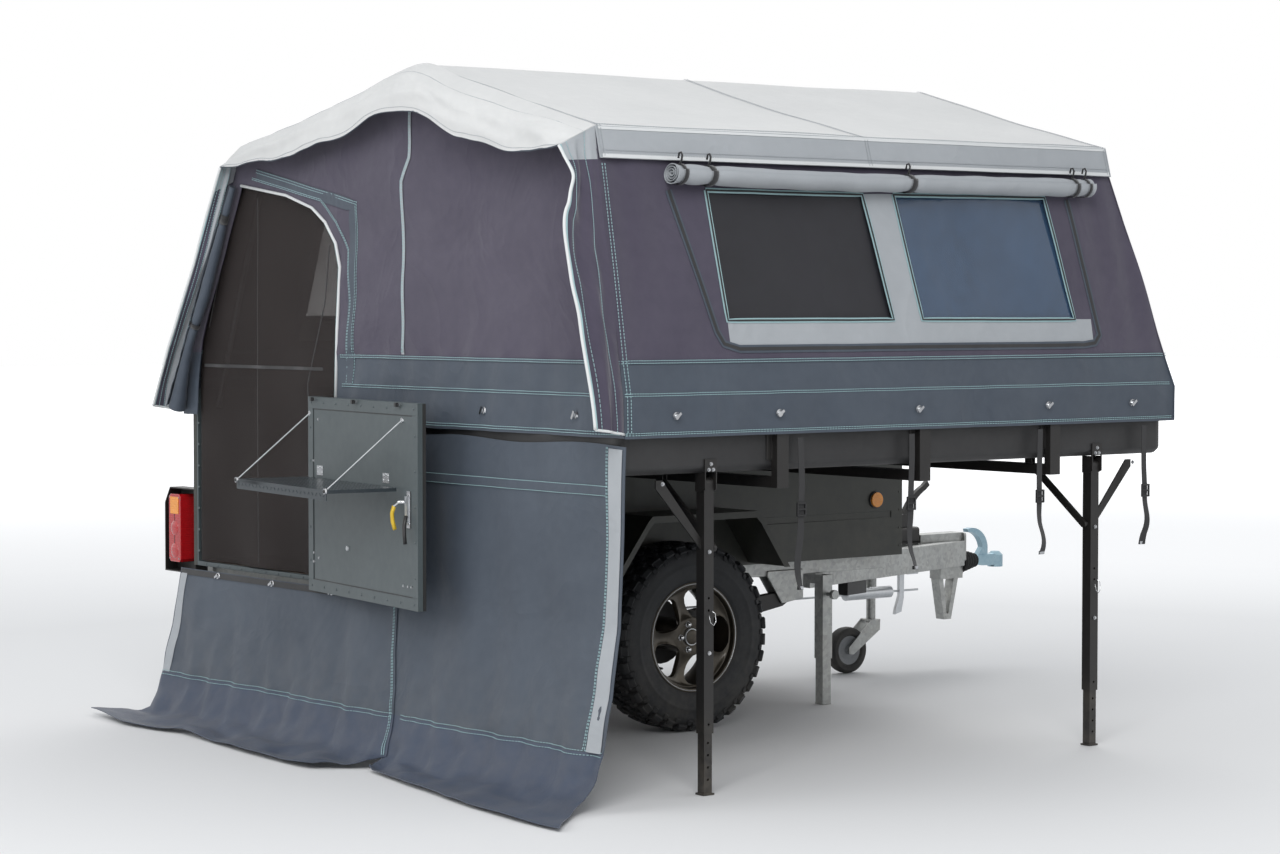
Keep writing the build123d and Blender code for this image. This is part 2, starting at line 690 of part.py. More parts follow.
# Hinges on the box: leaf on the side panel, two outer knuckles and the pin
leaf_thick = 5.0
leaf_height = 100.0
with BuildPart() as lid_hinges:
    for place in hinge_places:
        centre = lid_x + place
        for start in (centre - hinge_half - 31, centre + hinge_half + 1):
            with BuildSketch(Plane.YZ.offset(start)):
                with Locations((hinge_y, hinge_z)):
                    RegularPolygon(knuckle, knuckle_sides)
                with BuildLine():
                    Polyline(
                        (hinge_y, hinge_z - knuckle),
                        (right_side - leaf_thick - 0.3, hinge_z - knuckle),
                        (right_side - leaf_thick - 0.3, hinge_z - leaf_height),
                        (right_side - 0.3, hinge_z - leaf_height),
                        (right_side - 0.3, hinge_z - knuckle + leaf_thick),
                        (hinge_y, hinge_z - knuckle + leaf_thick),
                        close=True,
                    )
                make_face()
            extrude(amount=30)
        with BuildSketch(Plane.YZ.offset(centre - hinge_half - 31)):
            with Locations((hinge_y, hinge_z)):
                Circle(hinge_pin)
        extrude(amount=2 * hinge_half + 62)
keep(lid_hinges, "lid_hinges")

# Roof bars: hat-section channels up both sides of the tray, joined by a cross tube under it
bar_places = (-597.0, 41.0, 670.0)  # from the axle
bar_width = 50.0
bar_depth = 30.0
bar_low = 987.0
bar_tube = 36.0
flange_width = 96.0
flange_thick = 4.0
channel_top = 1195.0
with BuildPart() as roof_bars:
    for reach in bar_places:
        bar_x = axle_x + reach
        for wall_y, out in ((tray_outer - 0.3, -1), (tray_inner + 0.3, 1)):
            with BuildSketch(Plane.XY.offset(bar_low)):
                with Locations((bar_x, wall_y + out * bar_depth / 2)):
                    Rectangle(bar_width, bar_depth)
            extrude(amount=channel_top - bar_low)
            with BuildSketch(Plane.XY.offset(tray_under + lid_edge + 2)):
                with Locations((bar_x, wall_y + out * flange_thick / 2)):
                    Rectangle(flange_width, flange_thick)
            extrude(amount=channel_top - tray_under - lid_edge - 2)
        with BuildSketch(Plane.XZ.offset(-(tray_outer - 0.3))):
            with Locations((bar_x, bar_low + bar_tube / 2)):
                Rectangle(bar_width - 6, bar_tube)
        extrude(amount=-(2 * box_half + 0.6))
keep(roof_bars, "roof_bars")

# Prop legs: bracket on the tray, leg with its edge brace, and an inward stay
leg_places = (("rear", -881.0, -1), ("front", 909.0, 1))  # name, reach from the axle, side of the brace
leg_pivot_y = tray_outer + leg_inset
leg_pivot_z = tray_under - leg_drop
brace_reach = 193.0
brace_height = 811.0
bracket_plate = 5.0
ear = 4.0
ear_gap = 1.0
pin_radius = 5.0
leg_holes = (50.0, 90.0, 130.0, 170.0, 230.0, 600.0, 640.0)
stay_side = leg_tube / 2 + 15.0
with BuildPart() as leg_brackets:
    for name, reach, side in leg_places:
        leg_x = axle_x + reach
        with BuildSketch(Plane.XZ.offset(-(tray_outer - skin_gap))):
            with Locations((leg_x, tray_under + 25)):
                Rectangle(leg_tube + 2 * (ear_gap + ear), 40)
        extrude(amount=bracket_plate)
        for cheek in (-1, 1):
            with BuildSketch(Plane.YZ.offset(leg_x + cheek * (leg_tube / 2 + ear_gap))):
                with BuildLine():
                    Polyline(
                        (tray_outer - skin_gap - bracket_plate, tray_under + 45),
                        (tray_outer - skin_gap - bracket_plate, leg_pivot_z - 18),
                        (tray_outer + 12, leg_pivot_z - 26),
                        (leg_pivot_y + 20, leg_pivot_z - 26),
                        (leg_pivot_y + 20, tray_under - skin_gap),
                        (tray_outer - skin_gap, tray_under - skin_gap),
                        (tray_outer - skin_gap, tray_under + 45),
                        close=True,
                    )
                make_face()
            extrude(amount=cheek * ear)
        with BuildSketch(Plane.YZ.offset(leg_x - leg_tube / 2 - ear_gap - 3)):
            with Locations((leg_pivot_y, leg_pivot_z)):
                Circle(pin_radius)
        extrude(amount=leg_tube + 2 * ear_gap + 6)
        stay_y = leg_pivot_y + stay_reach
        for cheek in (-1, 1):
            with BuildSketch(Plane.YZ.offset(leg_x + side * stay_side * -1 + cheek * 7)):
                with Locations((stay_y, (leg_pivot_z - 14 + tray_under - 0.3) / 2)):
                    Rectangle(34, tray_under - 0.3 - leg_pivot_z + 14)
            extrude(amount=cheek * 3)
        with BuildSketch(Plane.YZ.offset(leg_x - side * stay_side - 9)):
            with Locations((stay_y, leg_pivot_z)):
                Circle(4)
        extrude(amount=18)
keep(leg_brackets, "leg_brackets")

stay_length = hypot(stay_reach, leg_pivot_z - stay_height)
for name, reach, side in leg_places:
    leg_x = axle_x + reach
    with BuildPart() as prop_leg:
        with BuildSketch(Plane.XY.offset(leg_split)):
            with Locations((leg_x, leg_pivot_y)):
                Rectangle(leg_tube, leg_tube)
        extrude(amount=leg_pivot_z - leg_split)
        with BuildSketch(Plane.YZ.offset(leg_x - leg_tube / 2)):
            with Locations((leg_pivot_y, leg_pivot_z)):
                Circle(leg_tube / 2)
        extrude(amount=leg_tube)
        with BuildSketch(Plane.XY.offset(6)):
            with Locations((leg_x, leg_pivot_y)):
                Rectangle(leg_tube - 7, leg_tube - 7)
        extrude(amount=leg_split - 6)
        with BuildSketch(Plane.XY):
            with Locations((leg_x, leg_pivot_y)):
                Rectangle(leg_tube + 4, leg_tube + 4)
        extrude(amount=6)
        with BuildSketch(Plane.XZ.offset(-(leg_pivot_y - leg_tube))):
            with Locations(*[(leg_x, height) for height in leg_holes]):
                RegularPolygon(4.5, 8)
        extrude(amount=-2 * leg_tube, mode=Mode.SUBTRACT)
        with BuildSketch(Plane.YZ.offset(leg_x - leg_tube / 2)):
            with Locations((leg_pivot_y, leg_pivot_z)):
                Circle(pin_radius + 0.3)
        extrude(amount=leg_tube, mode=Mode.SUBTRACT)
        with BuildSketch(Plane.YZ.offset(leg_x - side * leg_tube / 2)):
            with Locations((leg_pivot_y, stay_height)):
                RegularPolygon(7, rod_sides)
        extrude(amount=-side * (stay_side - leg_tube / 2 - 6 - skin_gap))
        with BuildSketch(Plane.XZ.offset(-(leg_pivot_y - 3))):
            with BuildLine():
                Polyline(
                    (leg_x + side * (leg_tube / 2 - 3), brace_height - 16),
                    (leg_x + side * (leg_tube / 2 - 3), brace_height + 20),
                    (leg_x + side * (brace_reach - 14), leg_pivot_z + 16),
                    (leg_x + side * (brace_reach + 12), leg_pivot_z + 16),
                    (leg_x + side * (brace_reach + 12), leg_pivot_z - 10),
                    close=True,
                )
            make_face()
        extrude(amount=-6)
    keep(prop_leg, f"prop_leg_{name}")

    stay_x = leg_x - side * stay_side
    stay_y = leg_pivot_y + stay_reach
    stay_plane = Plane(origin=(stay_x, stay_y, leg_pivot_z), x_dir=(0, -stay_reach, stay_height - leg_pivot_z),
                       z_dir=(1, 0, 0))
    with BuildPart() as leg_stay:
        with BuildSketch(stay_plane.offset(-6)):
            with Locations((stay_length / 2, 0)):
                SlotCenterToCenter(stay_length, 24)
            Circle(4.3, mode=Mode.SUBTRACT)
        extrude(amount=12)
    keep(leg_stay, f"leg_stay_{name}")

# Lid straps: webbing that hangs from the tray's side, with buckles half way
strap_places = (-528.0, -30.0, 586.0, 1118.0)  # from the axle
strap_width = 25.0
strap_thick = 3.0
strap_top = 1150.0
strap_bottom = 690.0
strap_y = tray_outer - bar_depth - 6
with BuildPart() as lid_straps:
    for reach in strap_places:
        with BuildSketch(Plane.XY.offset(strap_bottom)):
            with Locations((axle_x + reach, strap_y)):
                Rectangle(strap_width, strap_thick)
        extrude(amount=strap_top - strap_bottom)
        with BuildSketch(Plane.XY.offset(900)):
            with Locations((axle_x + reach, strap_y)):
                Rectangle(strap_width + 12, strap_thick + 10)
        extrude(amount=34)
        with BuildSketch(Plane.XY.offset(strap_top - 30)):
            with Locations((axle_x + reach, (strap_y + tray_outer - 0.3) / 2)):
                Rectangle(strap_width, tray_outer - 0.3 - strap_y)
        extrude(amount=30)
keep(lid_straps, "lid_straps")

# Mattress in the tray
bed_thick = 110.0
bed_gap = 6.0
with BuildPart() as mattress:
    with BuildSketch(Plane.XY.offset(tray_under + lid_wall + 0.5)):
        with Locations((lid_x, tray_mid)):
            RectangleRounded(lid_length - 2 * lid_wall - 2 * bed_gap - 170, 2 * (box_half - lid_wall - bed_gap) - 70, 30)
    extrude(amount=bed_thick)
keep(mattress, "mattress")

# Rear door, drawn closed in its own plane along the hinge axis and set at its open angle
door_x = box_rear - door_gap
door_y = mid_y + doorway_right - 8
door_plane = Plane(
    origin=(door_x, door_y, 0),
    x_dir=(-sin(radians(door_open)), cos(radians(door_open)), 0),
    z_dir=(0, 0, 1),
)
door_start = 13.0
door_knuckle = 9.0
shelf_start = 22.0
shelf_width = 772.0
shelf_axis = -door_thick / 2 - 12
door_pin = 4.0
door_knuckle_places = (640.0, 910.0, 1180.0)
knuckle_half = 30.0
with BuildPart() as rear_door:
    with BuildSketch(door_plane.offset(door_bottom)):
        with Locations((door_start + door_width / 2, 0)):
            Rectangle(door_width, door_thick)
    extrude(amount=door_top - door_bottom)
    for place in door_knuckle_places:
        with BuildSketch(door_plane.offset(place)):
            RegularPolygon(door_knuckle, knuckle_sides)
            with Locations((door_start / 2 + 3, 0)):
                Rectangle(door_start + 6, 5)
            Circle(door_pin + pin_clear, mode=Mode.SUBTRACT)
        extrude(amount=knuckle_half)
keep(rear_door, "rear_door")

# Door hinges on the rear frame: leaf, lower knuckle and pin
with BuildPart() as door_hinges:
    for place in door_knuckle_places:
        with BuildSketch(Plane.XY.offset(place - knuckle_half)):
            with Locations((door_x, door_y)):
                RegularPolygon(door_knuckle, knuckle_sides)
            with BuildLine():
                Polyline(
                    (door_x, door_y - 6), (box_rear - 0.3, door_y - 6), (box_rear - 0.3, door_y - 52),
                    (box_rear - 5.3, door_y - 52), (box_rear - 5.3, door_y - 11), (door_x, door_y - 11), close=True,
                )
            make_face()
        extrude(amount=knuckle_half - 1)
        with BuildSketch(Plane.XY.offset(place - knuckle_half)):
            with Locations((door_x, door_y)):
                Circle(door_pin)
        extrude(amount=2 * knuckle_half)
keep(door_hinges, "door_hinges")

# Shelf on the inner face of the door, folded down, with a knuckle at each hinge
shelf_knuckle = 6.0
shelf_pin = 2.5
shelf_edge = shelf_axis - 12.0  # the panel's inner edge
shelf_places = (90.0, 640.0)  # along the shelf
hinge_width = 50.0
block_width = 16.0


def door_section(along):
    """Plane across the door at a distance along it: its axes run out of the inner face's back and up."""
    return Plane(origin=door_plane.from_local_coords((along, 0, 0)), x_dir=door_plane.y_dir, z_dir=door_plane.x_dir)


with BuildPart() as door_shelf:
    with BuildSketch(door_plane.offset(shelf_z - shelf_thick / 2)):
        with Locations((shelf_start + shelf_width / 2, shelf_edge - shelf_depth / 2)):
            Rectangle(shelf_width, shelf_depth)
    extrude(amount=shelf_thick)
    for place in shelf_places:
        with BuildSketch(door_section(shelf_start + place - hinge_width / 2)):
            with Locations((shelf_axis, shelf_z)):
                RegularPolygon(shelf_knuckle, knuckle_sides)
            with Locations(((shelf_axis + shelf_edge) / 2 - 1, shelf_z)):
                Rectangle(shelf_axis - shelf_edge + 2, 6)
            with Locations((shelf_axis, shelf_z)):
                Circle(shelf_pin + pin_clear, mode=Mode.SUBTRACT)
        extrude(amount=hinge_width)
keep(door_shelf, "door_shelf")

# Door fittings on the inner face: shelf hinge blocks with their pins, latch strip and lever lock
with BuildPart() as door_fittings:
    for place in shelf_places:
        for start in (-hinge_width / 2 - block_width - 1, hinge_width / 2 + 1):
            with BuildSketch(door_section(shelf_start + place + start)):
                with Locations((shelf_axis, shelf_z)):
                    RegularPolygon(shelf_knuckle, knuckle_sides)
                with Locations(((shelf_axis - door_thick / 2 - skin_gap) / 2, shelf_z)):
                    Rectangle(-shelf_axis - door_thick / 2 - skin_gap, 2 * shelf_knuckle)
            extrude(amount=block_width)
        with BuildSketch(door_section(shelf_start + place - hinge_width / 2 - block_width)):
            with Locations((shelf_axis, shelf_z)):
                Circle(shelf_pin)
        extrude(amount=hinge_width + 2 * block_width)
    for place in (60.0, 410.0, 760.0):
        with BuildSketch(door_plane.offset(door_top - 14)):
            with Locations((door_start + place, -door_thick / 2 - 0.3 - 8)):
                Rectangle(34, 16)
        extrude(amount=12)
    with BuildSketch(door_plane.offset(840)):
        with Locations((door_start + 835, -door_thick / 2 - 0.3 - 11)):
            Rectangle(46, 22)
    extrude(amount=120)
keep(door_fittings, "door_fittings")

# Stay cables of the shelf, taut between the door's top and the shelf's outer corners
cable_radius = 2.5
with BuildPart() as shelf_cables:
    for place in (4.0, shelf_width - 4.0):
        with BuildLine() as route:
            Line(
                door_plane.from_local_coords((shelf_start + place, -door_thick / 2 - 4, 1196)),
                door_plane.from_local_coords((shelf_start + place, shelf_axis - shelf_depth - 6,
                                              shelf_z + shelf_thick / 2 + 2.4)),
            )
        with BuildSketch(Plane(origin=route.line @ 0, z_dir=route.line % 0)):
            RegularPolygon(cable_radius, 6)
        sweep()
keep(shelf_cables, "shelf_cables")

# Tent frame: three hoops, each narrower than the one it passes
hoop_tube = 11.0
hoop_bend = 70.0
bend_cut = hoop_bend * (1 - cos(radians(45)))
hoop_end = 6.0
ridge_hoop = (mid_y - box_half + 55, 1240.0, mid_y + ridge_y + 3, ridge_z - 26.0, -1192.0, 1020.0)
left_hoop = (mid_y + box_half - 65, 1200.0, mid_y + left_eave_y - 30, left_eave_z - 30.0, -1160.0, 988.0)
right_hoop = (tray_outer + 85, 1235.0, mid_y + right_eave_y + 28, right_eave_z - 34.0, -1128.0, 956.0)
# columns: pivot y, pivot z, top y, top z, rear and front reach from the axle
for name, hoop in (("hoop_ridge", ridge_hoop), ("hoop_left", left_hoop), ("hoop_right", right_hoop)):
    pivot_y, pivot_z, top_y, top_z, rear, front = hoop
    leg_long = hypot(top_y - pivot_y, top_z - pivot_z)
    below, shoulder = (
        (top_y + (pivot_y - top_y) * drop / leg_long, top_z + (pivot_z - top_z) * drop / leg_long)
        for drop in (hoop_bend, bend_cut)
    )
    with BuildPart() as tent_hoop:
        with BuildLine() as hoop_path:
            Polyline(
                (axle_x + rear, pivot_y, pivot_z), (axle_x + rear, *below), (axle_x + rear + bend_cut, *shoulder),
                (axle_x + rear + hoop_bend, top_y, top_z), (axle_x + front - hoop_bend, top_y, top_z),
                (axle_x + front - bend_cut, *shoulder), (axle_x + front, *below), (axle_x + front, pivot_y, pivot_z),
            )
        with BuildSketch(Plane(origin=hoop_path.line @ 0, x_dir=(1, 0, 0), z_dir=hoop_path.line % 0)):
            RegularPolygon(hoop_tube, 8, rotation=22.5)
        sweep(transition=Transition.RIGHT)
        for reach in (rear, front):
            with BuildSketch(Plane.YZ.offset(axle_x + reach - hoop_tube)):
                with Locations((pivot_y, pivot_z)):
                    RegularPolygon(hoop_tube, knuckle_sides)
            extrude(amount=2 * hoop_tube)
            with BuildSketch(Plane.YZ.offset(axle_x + reach - hoop_tube)):
                with Locations((pivot_y, pivot_z)):
                    Circle(hoop_end + 0.3)
            extrude(amount=2 * hoop_tube, mode=Mode.SUBTRACT)
    keep(tent_hoop, name)

# Hoop brackets on the box sides, and on the tray's outer wall
for name, hoops, wall_at in (
    ("hoop_brackets", ((ridge_hoop, right_side + panel + 0.3), (left_hoop, left_side - panel - 0.3)), None),
    ("tray_brackets", ((right_hoop, tray_outer + lid_wall + 0.3),), None),
):
    with BuildPart() as brackets:
        for hoop, wall in hoops:
            pivot_y, pivot_z, _, _, rear, front = hoop
            for reach in (rear, front):
                inward = 1 if reach == rear else -1
                with BuildSketch(Plane.YZ.offset(axle_x + reach + inward * (hoop_tube + 1))):
                    with Locations(((pivot_y + wall) / 2, pivot_z)):
                        Rectangle(abs(pivot_y - wall), 30)
                    with Locations((pivot_y, pivot_z)):
                        RegularPolygon(15, knuckle_sides)
                extrude(amount=inward * 4)
                with BuildSketch(Plane.YZ.offset(axle_x + reach + inward * (hoop_tube + 5))):
                    with Locations((pivot_y, pivot_z)):
                        Circle(hoop_end)
                extrude(amount=-inward * (2 * hoop_tube + 6))
    keep(brackets, name)

# Tent canvas, as thin solids along the section of the opened tent
rim_bend = 1290.0  # height where the walls turn down over the tray and the box
wall_right = tray_outer - 38.6
wall_left = mid_y + box_half + 8.3
band_depth = 103.0
band_gap = 10.0
tent_rear = lid_rear - 12.0
hem_front = lid_front + 18.0
eave_front = axle_x + 1055.0
ridge_front = axle_x + 1050.0
right_eave = (mid_y + right_eave_y, right_eave_z)
ridge = (mid_y + ridge_y, ridge_z)
left_eave = (mid_y + left_eave_y, left_eave_z)
right_top = (right_eave[0] + band_gap, right_eave_z - band_gap)
left_top = (left_eave[0] - band_gap, left_eave_z - band_gap)
side_outline = (
    (tent_rear, hem_z), (hem_front, hem_z), (hem_front, rim_bend), (eave_front, right_eave_z),
    (ridge_front, ridge_z), (tent_rear, ridge_z),
)


def sheet(points, thick):
    """Closed outline of a bent sheet whose outer face runs along the points, with its thickness to their right."""
    inner = []
    for index, (a, b) in enumerate(points):
        before = points[max(index - 1, 0)]
        after = points[min(index + 1, len(points) - 1)]
        ends = [pair for pair in ((before, (a, b)), ((a, b), after)) if pair[0] != pair[1]]
        turns = [atan2(end[1] - start[1], end[0] - start[0]) for start, end in ends]
        middle = turns[0] + ((turns[-1] - turns[0] + 3.141592653589793) % 6.283185307179586 - 3.141592653589793) / 2
        reach = thick / cos((turns[-1] - middle + 3.141592653589793) % 6.283185307179586 - 3.141592653589793)
        inner.append((a + reach * sin(middle), b - reach * cos(middle)))
    return list(points) + inner[::-1]


def toward(start, end, distance):
    """Point at a distance from start on the way to end."""
    length = hypot(end[0] - start[0], end[1] - start[1])
    return (start[0] + (end[0] - start[0]) * distance / length, start[1] + (end[1] - start[1]) * distance / length)


right_wall_line = ((wall_right, hem_z), (wall_right, rim_bend), right_top)
left_wall_line = (left_top, (wall_left, rim_bend), (wall_left, hem_z))

# Roof, with the reinforced bands that turn down over the walls
with BuildPart() as tent_roof:
    with BuildSketch(Plane.YZ.offset(tent_rear)):
        with BuildLine():
            right_band = toward(right_eave, (wall_right - band_gap, rim_bend), band_depth)
            left_band = toward(left_eave, (wall_left + band_gap, rim_bend), band_depth)
            Polyline(*sheet((right_band, right_eave, ridge, left_eave, left_band), canvas), close=True)
        make_face()
    extrude(amount=axle_x + roof_front + 15 - tent_rear)
keep(tent_roof, "tent_roof")

# Windows in both side walls: height and reach from the axle of their corners
window_corners = (
    ((-833, 1957), (-150, 1957), (-73, 1535), (-801, 1535)),
    ((-8, 1960), (725, 1966), (801, 1533), (57, 1535)),
)
film_lap = 12.0
film_thick = 2.0
with BuildPart() as side_walls:
    for line in (right_wall_line, left_wall_line):
        with BuildSketch(Plane.YZ.offset(tent_rear + canvas + skin_gap)):
            with BuildLine():
                Polyline(*sheet(line, canvas), close=True)
            make_face()
        extrude(amount=hem_front - tent_rear - canvas - skin_gap)
    with BuildSketch(Plane.XZ.offset(-mid_y - 900)):
        with BuildLine():
            Polyline(*side_outline, close=True)
        make_face()
    extrude(amount=3200, mode=Mode.INTERSECT)
    with BuildSketch(Plane.XZ.offset(-mid_y - 900)):
        for corners in window_corners:
            with BuildLine():
                Polyline(*[(axle_x + reach, height) for reach, height in corners], close=True)
            make_face()
    extrude(amount=3200, mode=Mode.SUBTRACT)
keep(side_walls, "side_walls")

with BuildPart() as window_films:
    for line in (right_wall_line, left_wall_line):
        inner_line = sheet(line, canvas + skin_gap)[len(line):][::-1]
        with BuildSketch(Plane.YZ.offset(tent_rear + 200)):
            with BuildLine():
                Polyline(*sheet(inner_line, film_thick), close=True)
            make_face()
        extrude(amount=2200)
    with BuildSketch(Plane.XZ.offset(-mid_y - 900)):
        for corners in window_corners:
            with BuildLine():
                Polyline(*[(axle_x + reach, height) for reach, height in corners], close=True)
            make_face()
        offset(amount=film_lap, kind=Kind.INTERSECTION)
    extrude(amount=3200, mode=Mode.INTERSECT)
keep(window_films, "window_films")

# Gables: the rear one has the doorway, the front one leans back
inset_section = [*sheet(right_wall_line, canvas + skin_gap)[3:][::-1], (ridge[0], ridge_z - canvas - 2.5),
                 *sheet(left_wall_line, canvas + skin_gap)[3:][::-1]]
rear_section = [*right_wall_line, (ridge[0], ridge_z - canvas - 2.5), *left_wall_line]
doorway = ((253, 1299), (219, 1496), (204, 1738), (236, 1817), (383, 1934), (881, 2029), (971, 1754), (1184, 1451),
           (1216, 1259))
with BuildPart() as gable_rear:
    with BuildSketch(Plane.YZ.offset(tent_rear)):
        with BuildLine():
            Polyline(*rear_section, close=True)
        make_face()
        with BuildLine():
            Polyline((doorway[0][0], hem_z - 20), *doorway, (doorway[-1][0], hem_z - 20), close=True)
        make_face(mode=Mode.SUBTRACT)
    extrude(amount=canvas)
keep(gable_rear, "gable_rear")

with BuildPart() as gable_front:
    with BuildSketch(Plane.XZ.offset(-mid_y - 900)):
        with BuildLine():
            Polyline(*sheet(((ridge_front, ridge_z), (eave_front, right_eave_z), (hem_front, rim_bend),
                             (hem_front, hem_z)), canvas), close=True)
        make_face()
    extrude(amount=3200)
    with BuildSketch(Plane.YZ.offset(0)):
        with BuildLine():
            Polyline(*inset_section, close=True)
        make_face()
    extrude(amount=1200, mode=Mode.INTERSECT)
keep(gable_front, "gable_front")

# Rear hood: the roof's valance and both storm flaps, which flare behind the gable
hood_reach = 130.0
hood_outer = ((-1456, 1176), (-1448, 1290), (-1296, 2152), (-325, 2406), (910, 2146), (1330, 1290), (1330, 1186))
hood_lip = ((-1460, 1190), (-1446, 1290), (-1290, 2036), (-325, 2256), (896, 2040), (1326, 1290), (1330, 1200))
with BuildPart() as rear_hood:
    with BuildSketch(Plane.YZ.offset(tent_rear - skin_gap)):
        with BuildLine():
            Polyline(*sheet(hood_outer, canvas), close=True)
        make_face()
    with BuildSketch(Plane.YZ.offset(tent_rear - hood_reach)):
        with BuildLine():
            Polyline(*sheet(hood_lip, canvas), close=True)
        make_face()
    loft(ruled=True)
keep(rear_hood, "rear_hood")

# Insect mesh across the doorway, behind the gable and down to the sill
mesh_thick = 4.0
mesh_lap = 22.0
with BuildPart() as mesh_door:
    with BuildSketch(Plane.YZ.offset(tent_rear + canvas + skin_gap)):
        with BuildLine():
            Polyline(*doorway, close=True)
        make_face()
        offset(amount=mesh_lap, kind=Kind.INTERSECTION)
        with BuildLine():
            Polyline(
                (mid_y + doorway_right + 16, sill_height + 5), (mid_y + doorway_right + 16, 1310), (1225, 1310),
                (1225, sill_height + 5), close=True,
            )
        make_face()
    extrude(amount=mesh_thick)
keep(mesh_door, "mesh_door")

# Rolled door flap, tied up beside the doorway, and the rolled blind over the right windows
roll_radius = 23.0
roll_x = tent_rear - roll_radius - skin_gap
with BuildPart() as door_roll:
    with BuildLine() as roll_path:
        Polyline((roll_x, 922, 2022), (roll_x, 1284, 1206))
    with BuildSketch(Plane(origin=roll_path.line @ 0, z_dir=roll_path.line % 0)):
        RegularPolygon(roll_radius, knuckle_sides)
    sweep()
keep(door_roll, "door_roll")

blind_radius = 34.9
with BuildPart() as blind_roll:
    with BuildSketch(Plane.YZ.offset(axle_x - 999)):
        with Locations((mid_y - 1987, 2003)):
            RegularPolygon(blind_radius, knuckle_sides)
    extrude(amount=1916)
keep(blind_roll, "blind_roll")

# Rear curtain from the tray and the sill to the ground, with the flap that lies on it
curtain_line = ((tent_rear + 3.7, 1140), (tent_rear - 8, 552), (tent_rear - 130, 108), (tent_rear - 158, 12),
                (tent_rear - 228, 12))
curtain_right = wall_right - 6
curtain_left = wall_left + 16.7
with BuildPart() as rear_curtain:
    with BuildSketch(Plane.XZ.offset(-curtain_right)):
        with BuildLine():
            Polyline(*sheet(curtain_line, -canvas), close=True)
        make_face()
    extrude(amount=curtain_right - curtain_left)
    with BuildSketch(Plane.YZ.offset(-1760)):
        with Locations(((door_y - 56 + curtain_left + 10) / 2, (sill_height - 2 + 1200) / 2)):
            Rectangle(curtain_left + 10 - door_y + 56, 1200 - sill_height + 2)
    extrude(amount=200, mode=Mode.SUBTRACT)
    with BuildSketch(Plane.XY.offset(4)):
        with BuildLine():
            Polyline(
                (tent_rear - 152, wall_right - 2.4), (tent_rear - 386, wall_right - 234.4), (tent_rear - 358, mid_y - 1240),
                (tent_rear - 288, mid_y - 40), (tent_rear - 228, wall_left + 360.7), (tent_rear - 152, curtain_left),
                close=True,
            )
        make_face()
    extrude(amount=canvas)
keep(rear_curtain, "rear_curtain")
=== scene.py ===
import json
import math

import bpy
import bmesh
from mathutils import Matrix, Vector, noise


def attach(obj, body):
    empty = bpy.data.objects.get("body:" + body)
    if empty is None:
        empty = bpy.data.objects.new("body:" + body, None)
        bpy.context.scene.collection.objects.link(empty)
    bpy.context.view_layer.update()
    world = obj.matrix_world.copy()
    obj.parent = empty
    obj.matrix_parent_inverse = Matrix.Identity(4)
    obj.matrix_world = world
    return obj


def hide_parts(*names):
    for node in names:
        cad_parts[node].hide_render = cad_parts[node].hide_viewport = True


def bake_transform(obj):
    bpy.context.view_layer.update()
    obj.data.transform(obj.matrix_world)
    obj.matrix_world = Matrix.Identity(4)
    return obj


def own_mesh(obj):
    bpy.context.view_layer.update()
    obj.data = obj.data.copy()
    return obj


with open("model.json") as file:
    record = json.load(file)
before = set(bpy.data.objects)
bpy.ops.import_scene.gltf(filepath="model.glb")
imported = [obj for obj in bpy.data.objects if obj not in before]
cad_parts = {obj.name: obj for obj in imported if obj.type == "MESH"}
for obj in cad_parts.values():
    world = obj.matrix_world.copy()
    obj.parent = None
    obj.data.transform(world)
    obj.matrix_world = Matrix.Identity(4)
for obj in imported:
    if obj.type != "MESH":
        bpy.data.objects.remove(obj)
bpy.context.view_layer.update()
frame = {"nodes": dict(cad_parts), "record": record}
print("frame loaded")

# Places shared by the pieces, in metres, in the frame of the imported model
axleX = -0.410
axleZ = 0.352
midY = 0.640
wheelOut = 0.789
tentRear = -1.672
hemFront = 0.873
hemZ = 1.167
bendZ = 1.290
bandZ = 1.405
eaveZ = 2.152
eaveFront = 0.645
rightWallY = -1.4436
leftWallY = 1.3133

# Places nearer than this are one; a step of noSplit leaves a path its own points
oneSpot = 1e-5
noSplit = 9.0

# Camera, at the photograph's place and angle

cameraSettings = {
    "place": (-7.432, -8.895, 1.589),
    "yaw": 51.985,
    "down": 2.340,
    "lens": 84.68,
    "sensor": 36.0,
    "sight": 200,
}


def placeObject(name, data, place=(0, 0, 0), way=None):
    thing = bpy.data.objects.new(name, data)
    bpy.context.scene.collection.objects.link(thing)
    thing.location = place
    if way is not None:
        thing.rotation_mode = "QUATERNION"
        thing.rotation_quaternion = way.to_track_quat("-Z", "Y")
    return thing


def placeCamera(settings):
    yaw, down = math.radians(settings["yaw"]), math.radians(settings["down"])
    forward = Vector((math.cos(yaw) * math.cos(down), math.sin(yaw) * math.cos(down), -math.sin(down)))
    data = bpy.data.cameras.new("camera")
    data.lens = settings["lens"]
    data.sensor_width = settings["sensor"]
    data.clip_end = settings["sight"]
    bpy.context.scene.camera = placeObject("camera", data, settings["place"], forward)


placeCamera(cameraSettings)

# Shader node groups


def feed(tree, node, values):
    # A number, tuple or colour sets a socket; another socket is linked to it
    for name, given in values.items():
        if isinstance(given, (int, float, tuple)):
            node.inputs[name].default_value = given
        else:
            tree.links.new(given, node.inputs[name])


def addNode(tree, kind, values, **choices):
    node = tree.nodes.new(f"ShaderNode{kind}")
    for name, choice in choices.items():
        setattr(node, name, choice)
    feed(tree, node, values)
    return node.outputs


